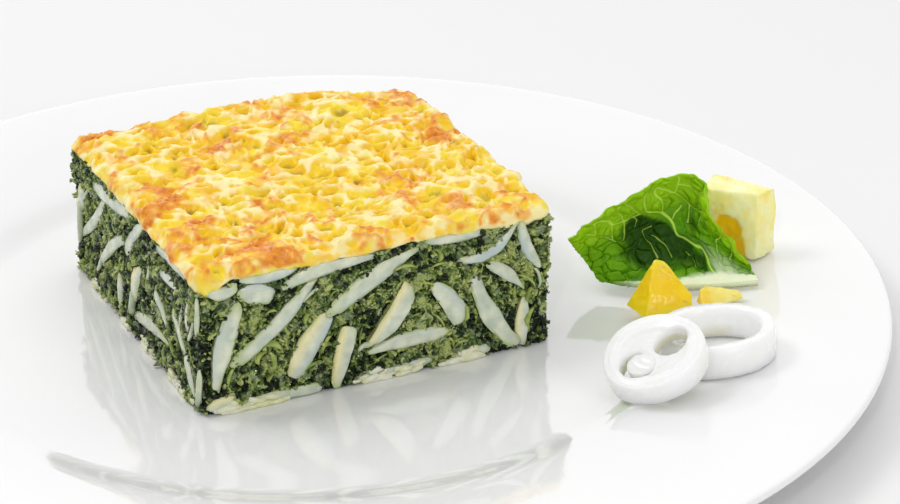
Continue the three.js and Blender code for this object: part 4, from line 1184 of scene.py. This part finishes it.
def cheese_chunk(name, hull_points, seed):
    shape = bmesh.new()
    corners = [shape.verts.new(p) for p in hull_points]
    bmesh.ops.convex_hull(shape, input=corners)
    bmesh.ops.dissolve_limit(shape, angle_limit=math.radians(4), verts=shape.verts, edges=shape.edges)
    flat_ways = np.array([f.normal for f in shape.faces])
    bmesh.ops.bevel(shape, geom=shape.edges, offset=0.45, offset_type="OFFSET", segments=3, profile=0.5,
                    affect="EDGES", clamp_overlap=True, material=-1)
    bmesh.ops.remove_doubles(shape, verts=shape.verts, dist=0.06)
    bmesh.ops.triangulate(shape, faces=shape.faces)
    for _ in range(7):
        long_edges = [e for e in shape.edges if e.calc_length() > 0.75]
        if not long_edges:
            break
        bmesh.ops.subdivide_edges(shape, edges=long_edges, cuts=1)
        bmesh.ops.triangulate(shape, faces=[f for f in shape.faces if len(f.verts) > 3])
    shape.normal_update()
    normals = np.array([v.normal for v in shape.verts])
    mesh = mesh_of(shape, "yellow_" + name)
    points = points_of(mesh)
    waves = 0.28 * rough(points, 5.5, seed) + 0.1 * rough(points, 1.3, seed + 9)
    deep = np.zeros(len(points))
    if name == "cheese_block":
        local = points - HOLLOW_AT
        c, s = math.cos(-HOLLOW_TURN), math.sin(-HOLLOW_TURN)
        local = np.column_stack([c * local[:, 0] - s * local[:, 1], s * local[:, 0] + c * local[:, 1], local[:, 2]])
        inside = 1 - (local[:, 0] / HOLLOW_WIDE) ** 2 - (local[:, 2] / HOLLOW_TALL) ** 2
        inside = inside + 0.35 * rough(points, 5, seed + 7)
        facing = smooth(0.3, 0.7, -(normals @ np.array([-math.sin(HOLLOW_TURN), math.cos(HOLLOW_TURN), 0])))
        deep = np.sqrt(np.clip(inside, 0, 1)) * facing
        points = points + np.array([-math.sin(HOLLOW_TURN), math.cos(HOLLOW_TURN), 0]) * (HOLLOW_DEEP * deep)[:, None]
    move_points(mesh, points + normals * waves[:, None])
    pale = {"cheese_block": 0.74, "cheese_wedge": -0.15, "cheese_chip": 0.4}[name]
    # Paler along the bevelled edges, where the point's normal leaves the flat faces.
    edge_measure = smooth(0.97, 0.75, np.abs(normals @ flat_ways.T).max(1))
    patchy = 0.42 if name == "cheese_block" else 0.2
    store(mesh, "pale", np.clip(pale + patchy * rough(points, 6, seed + 3) + 0.5 * edge_measure - deep, 0, 1))
    amber = 0.0 if name == "cheese_block" else 0.6
    # Painted shade: the hollow is painted a deeper orange; the wedge and chip get random amber patches.
    store(mesh, "deep", np.clip(smooth(0, 0.35, deep) + amber * smooth(0.0, 1.0, rough(points, 9, seed + 5)), 0, 1))
    add_piece(mesh, CHEESE, [name], sharp=50)


for seed, (name, hull_points) in enumerate(CHUNKS.items()):
    cheese_chunk(name, hull_points, 600 + 20 * seed)

# %% [markdown]
# ## The onion
# A slice of onion is a set of rings, each a thick skin that bulges at mid height. A section
# spun round an axis gives a ring, and slow waves make it as uneven as a cut onion. The front
# slice still holds its inner layers: a web with two openings and a small heart.

# %% Onion
ONION, tree, shader, place = start_material(
    "raw_onion", Subsurface_Weight=0.9, Subsurface_Scale=0.006, IOR=1.4, Coat_Weight=0.2,
    Coat_Roughness=0.15)
shader.inputs["Subsurface Radius"].default_value = (1.0, 1.0, 0.95)
cloudy = use_group(tree, MOTTLE, Vector=place, Patches_per_metre=160.0, Softness=0.3,
                   First=paint(250, 251, 249), Second=paint(254, 254, 253))
# Beige: thin skins between the layers, and painted shade inside the web's openings.
color = blend_colors(tree, stored(tree, "skin"), cloudy["Color"], paint(228, 226, 206))
tree.links.new(color, shader.inputs["Base Color"])
juicy = use_group(tree, MOISTURE, Vector=place, Spots_per_metre=180.0, Wet=0.12, Dry=0.3)
tree.links.new(juicy["Roughness"], shader.inputs["Roughness"])
fibre = use_group(tree, GRAIN, Vector=place, Grains_per_metre=500.0, Lumpiness=0.1)
bump(tree, shader, fibre["Height"], 0.00015, 0.4)

BAND = [(0.36, 0.0), (0.46, 0.06), (0.5, 0.2), (0.53, 0.5), (0.5, 0.8), (0.44, 0.94), (0.3, 1.0), (0.0, 0.985),
        (-0.3, 1.0), (-0.44, 0.94), (-0.5, 0.8), (-0.47, 0.5), (-0.5, 0.2), (-0.46, 0.06), (-0.36, 0.0), (0.0, 0.015)]


VOXEL = 0.22


def wobble(angle, seed):
    return math.cos(2 * angle + 0.6) + 0.4 * math.cos(3 * angle + seed)


def onion_ring(radius, wall, height, unevenness, seed, steps=120, stretch=(1, 1), shift=(0, 0), lift=0.0):
    """A closed ring round the upright axis, its underside at height lift."""
    shape = bmesh.new()
    section = [shape.verts.new((radius + out * wall, 0, up * height)) for out, up in BAND]
    loop = [shape.edges.new(pair) for pair in zip(section, section[1:] + section[:1])]
    bmesh.ops.spin(shape, geom=section + loop, cent=(0, 0, 0), axis=(0, 0, 1), angle=2 * math.pi,
                   steps=steps, use_merge=True)
    for v in shape.verts:
        angle = math.atan2(v.co.y, v.co.x)
        away = math.hypot(v.co.x, v.co.y) + wobble(angle, seed) * unevenness
        bend = 0.35 * math.sin(3 * angle + seed) * unevenness
        v.co = Vector((math.cos(angle) * away * stretch[0] + shift[0],
                       math.sin(angle) * away * stretch[1] + shift[1], v.co.z + lift + bend))
    return shape


def onion_web(radius, low, high, unevenness, seed, steps=84):
    """The inner layers: a disc that rises to the outer ring, with a hole and a crescent gap."""
    shape = bmesh.new()
    bmesh.ops.create_grid(shape, x_segments=steps, y_segments=steps, size=radius)
    disc, hole = (0, 0, radius, radius), (5.1, 0.2, 4.4, 3.7)
    gap, heart = (-5.0, -0.5, 4.2, 4.4), (-4.2, -0.6, 3.4, 3.5)

    def reach(point, oval):
        return math.hypot((point.x - oval[0]) / oval[2], (point.y - oval[1]) / oval[3])

    gone = []
    for face in shape.faces:
        c = face.calc_center_median()
        if reach(c, disc) > 1 or reach(c, hole) < 1 or reach(c, gap) < 1 < reach(c, heart):
            gone.append(face)
    bmesh.ops.delete(shape, geom=gone, context="FACES")
    for v in shape.verts:
        if v.is_boundary:
            oval = min((disc, hole, gap, heart), key=lambda o: abs(reach(v.co, o) - 1) * o[2])
            middle = Vector((oval[0], oval[1], 0))
            v.co = middle + (v.co - middle) / reach(v.co, oval)
    roofs = bmesh.ops.extrude_face_region(shape, geom=list(shape.faces))["geom"]
    roof = {v for v in roofs if isinstance(v, bmesh.types.BMVert)}
    for v in shape.verts:
        away = math.hypot(v.co.x, v.co.y)
        layers = 0.08 * math.sin(away * 3.2 + 0.8 * math.sin(2 * math.atan2(v.co.y, v.co.x)))
        angle = math.atan2(v.co.y, v.co.x)
        rise = (1.05 + 0.35 * math.sin(3 * angle + seed) * unevenness) * smooth(6, 10.0, away)
        rise = rise - 0.3 * smooth(10.3, radius, away)
        edge_measure = min(abs(reach(v.co, oval) - 1) * oval[2] for oval in (hole, gap, heart))
        rounded = 0.35 * smooth(0.6, 0, edge_measure) ** 2
        v.co.z = high + float(layers + rise - rounded) if v in roof else low
        shift = wobble(angle, seed) * unevenness * float(smooth(6, 10, away))
        v.co.x, v.co.y = v.co.x * (1 + shift / radius), v.co.y * (1 + shift / radius)
    return shape


def merged(shapes, name):
    """One mesh of several closed shapes. Where they overlap, they become one skin."""
    joined_shape = bmesh.new()
    for shape in shapes:
        bmesh.ops.recalc_face_normals(shape, faces=shape.faces)
        part = bpy.data.meshes.new("part")
        shape.to_mesh(part)
        shape.free()
        joined_shape.from_mesh(part)
        bpy.data.meshes.remove(part)
    mesh = bpy.data.meshes.new(name)
    joined_shape.to_mesh(mesh)
    joined_shape.free()
    if len(shapes) == 1:
        return mesh
    whole = bpy.data.objects.new("whole", mesh)
    bpy.context.scene.collection.objects.link(whole)
    fuse = whole.modifiers.new("fuse", "REMESH")
    fuse.mode, fuse.voxel_size = "VOXEL", VOXEL
    fused = bpy.data.meshes.new_from_object(whole.evaluated_get(bpy.context.evaluated_depsgraph_get()))
    bpy.data.objects.remove(whole)
    bpy.data.meshes.remove(mesh)
    fused.name = name
    return fused


def place_onion(mesh, axis, origin, seed):
    turn = Vector((0, 0, 1)).rotation_difference(Vector(axis).normalized())
    points = points_of(mesh)
    layer = 0.5 + 0.5 * np.sin(np.hypot(points[:, 0], points[:, 1]) * 5.5 + ripple(points, 6, seed))
    skin = 0.35 * layer * smooth(-0.2, 0.6, ripple(points, 5, seed + 1))
    # Painted shade: the lower inner walls of the web's openings turn beige.
    painted_opening_shade = smooth(10.6, 10.0, np.hypot(points[:, 0], points[:, 1])) * smooth(4.8, 2.5, points[:, 2])
    store(mesh, "skin", np.clip(skin + painted_opening_shade, 0, 1))
    mesh.transform(Matrix.Translation(origin) @ turn.to_matrix().to_4x4())


back_ring = merged([onion_ring(12.55, 3.7, 8.4, 0.5, 1.0)], "onion_ring")
place_onion(back_ring, (-0.055, 0.047, 1), (81.7, -70.2, 9.6), 701)
add_piece(back_ring, ONION, ["onion_ring_back"])

front_slice = merged([onion_ring(11.3, 2.6, 6.2, 0.35, 2.0), onion_web(11.6, 1.15, 5.25, 0.35, 2.0)], "onion_slice")
place_onion(front_slice, (-0.401, -0.177, 0.899), (61.9, -76.8, 14), 711)
add_piece(front_slice, ONION, ["onion_slice_front"])

# %% [markdown]
# ## Floor, light and camera
# The picture is high key: a white floor under soft light from all round, with the brightest
# light high at the back left, so that soft shadows fall to the front right. The camera looks
# down on the corner of the bake from where the photo was taken.

# %% Floor
FLOOR_SIZE = 6.0
WHITE, tree, shader, place = start_material("studio_floor", Roughness=0.4)
even = use_group(tree, MOTTLE, Vector=place, Patches_per_metre=2.0, Softness=0.4,
                 First=paint(237, 237, 237), Second=paint(239, 239, 239))
tree.links.new(even["Color"], shader.inputs["Base Color"])
floor_shape = bmesh.new()
bmesh.ops.create_grid(floor_shape, x_segments=1, y_segments=1, size=FLOOR_SIZE / 2)
floor_mesh = mesh_of(floor_shape, "studio_floor")
floor = bpy.data.objects.new("studio_floor", floor_mesh)
floor_mesh.materials.append(WHITE)
bpy.context.scene.collection.objects.link(floor)

# %% Light
bpy.context.scene.view_settings.view_transform = "Standard"
world = bpy.data.worlds.new("studio")
bpy.context.scene.world = world
world.use_nodes = True
sky = world.node_tree
toward = add_node(sky, "ShaderNodeVectorMath", {0: sky.nodes.new("ShaderNodeTexCoord").outputs["Generated"],
                                                1: Vector((0.37, 0.83, 0.42)).normalized()}, operation="DOT_PRODUCT")
glow = spread(sky, toward.outputs["Value"], -0.1, 0.95, 0.51, 1.17)
sky.nodes["Background"].inputs["Color"].default_value = (1, 1, 1, 1)
sky.links.new(glow, sky.nodes["Background"].inputs["Strength"])

MIDDLE = Vector((0.02, -0.01, 0.02))


def soft_light(name, where, width, power, target=MIDDLE):
    lamp = bpy.data.lights.new(name, "AREA")
    lamp.shape, lamp.size, lamp.energy = "DISK", width, power
    made = bpy.data.objects.new(name, lamp)
    made.location = where
    made.rotation_euler = (target - Vector(where)).to_track_quat("-Z", "Y").to_euler()
    bpy.context.scene.collection.objects.link(made)


soft_light("key_light", (-0.55, 0.4, 1.0), 0.45, 3.2)
soft_light("front_fill", (-0.6, -1.0, 0.9), 0.09, 1.9)
soft_light("bounce_card", (0.2, -1.0, 0.42), 0.4, 1.9, Vector((0.07, -0.05, 0.015)))

# %% Camera
EYE = Vector((-271.345, -686.101, 378.943)) * MM
LOOK = Vector((0.37335905, 0.82022333, -0.43340132)).normalized()
ROLL = math.radians(-0.596)
LENS = 127.75

level_right = LOOK.cross(Vector((0, 0, 1))).normalized()
level_up = level_right.cross(LOOK)
right = math.cos(ROLL) * level_right + math.sin(ROLL) * level_up
upward = -math.sin(ROLL) * level_right + math.cos(ROLL) * level_up
camera = bpy.data.objects.new("camera", bpy.data.cameras.new("camera"))
camera.data.lens, camera.data.sensor_width = LENS, 36.0
camera.matrix_world = Matrix.Translation(EYE) @ Matrix((right, upward, -LOOK)).transposed().to_4x4()
bpy.context.scene.collection.objects.link(camera)
bpy.context.scene.camera = camera
print("camera", [round(v, 3) for v in camera.location])
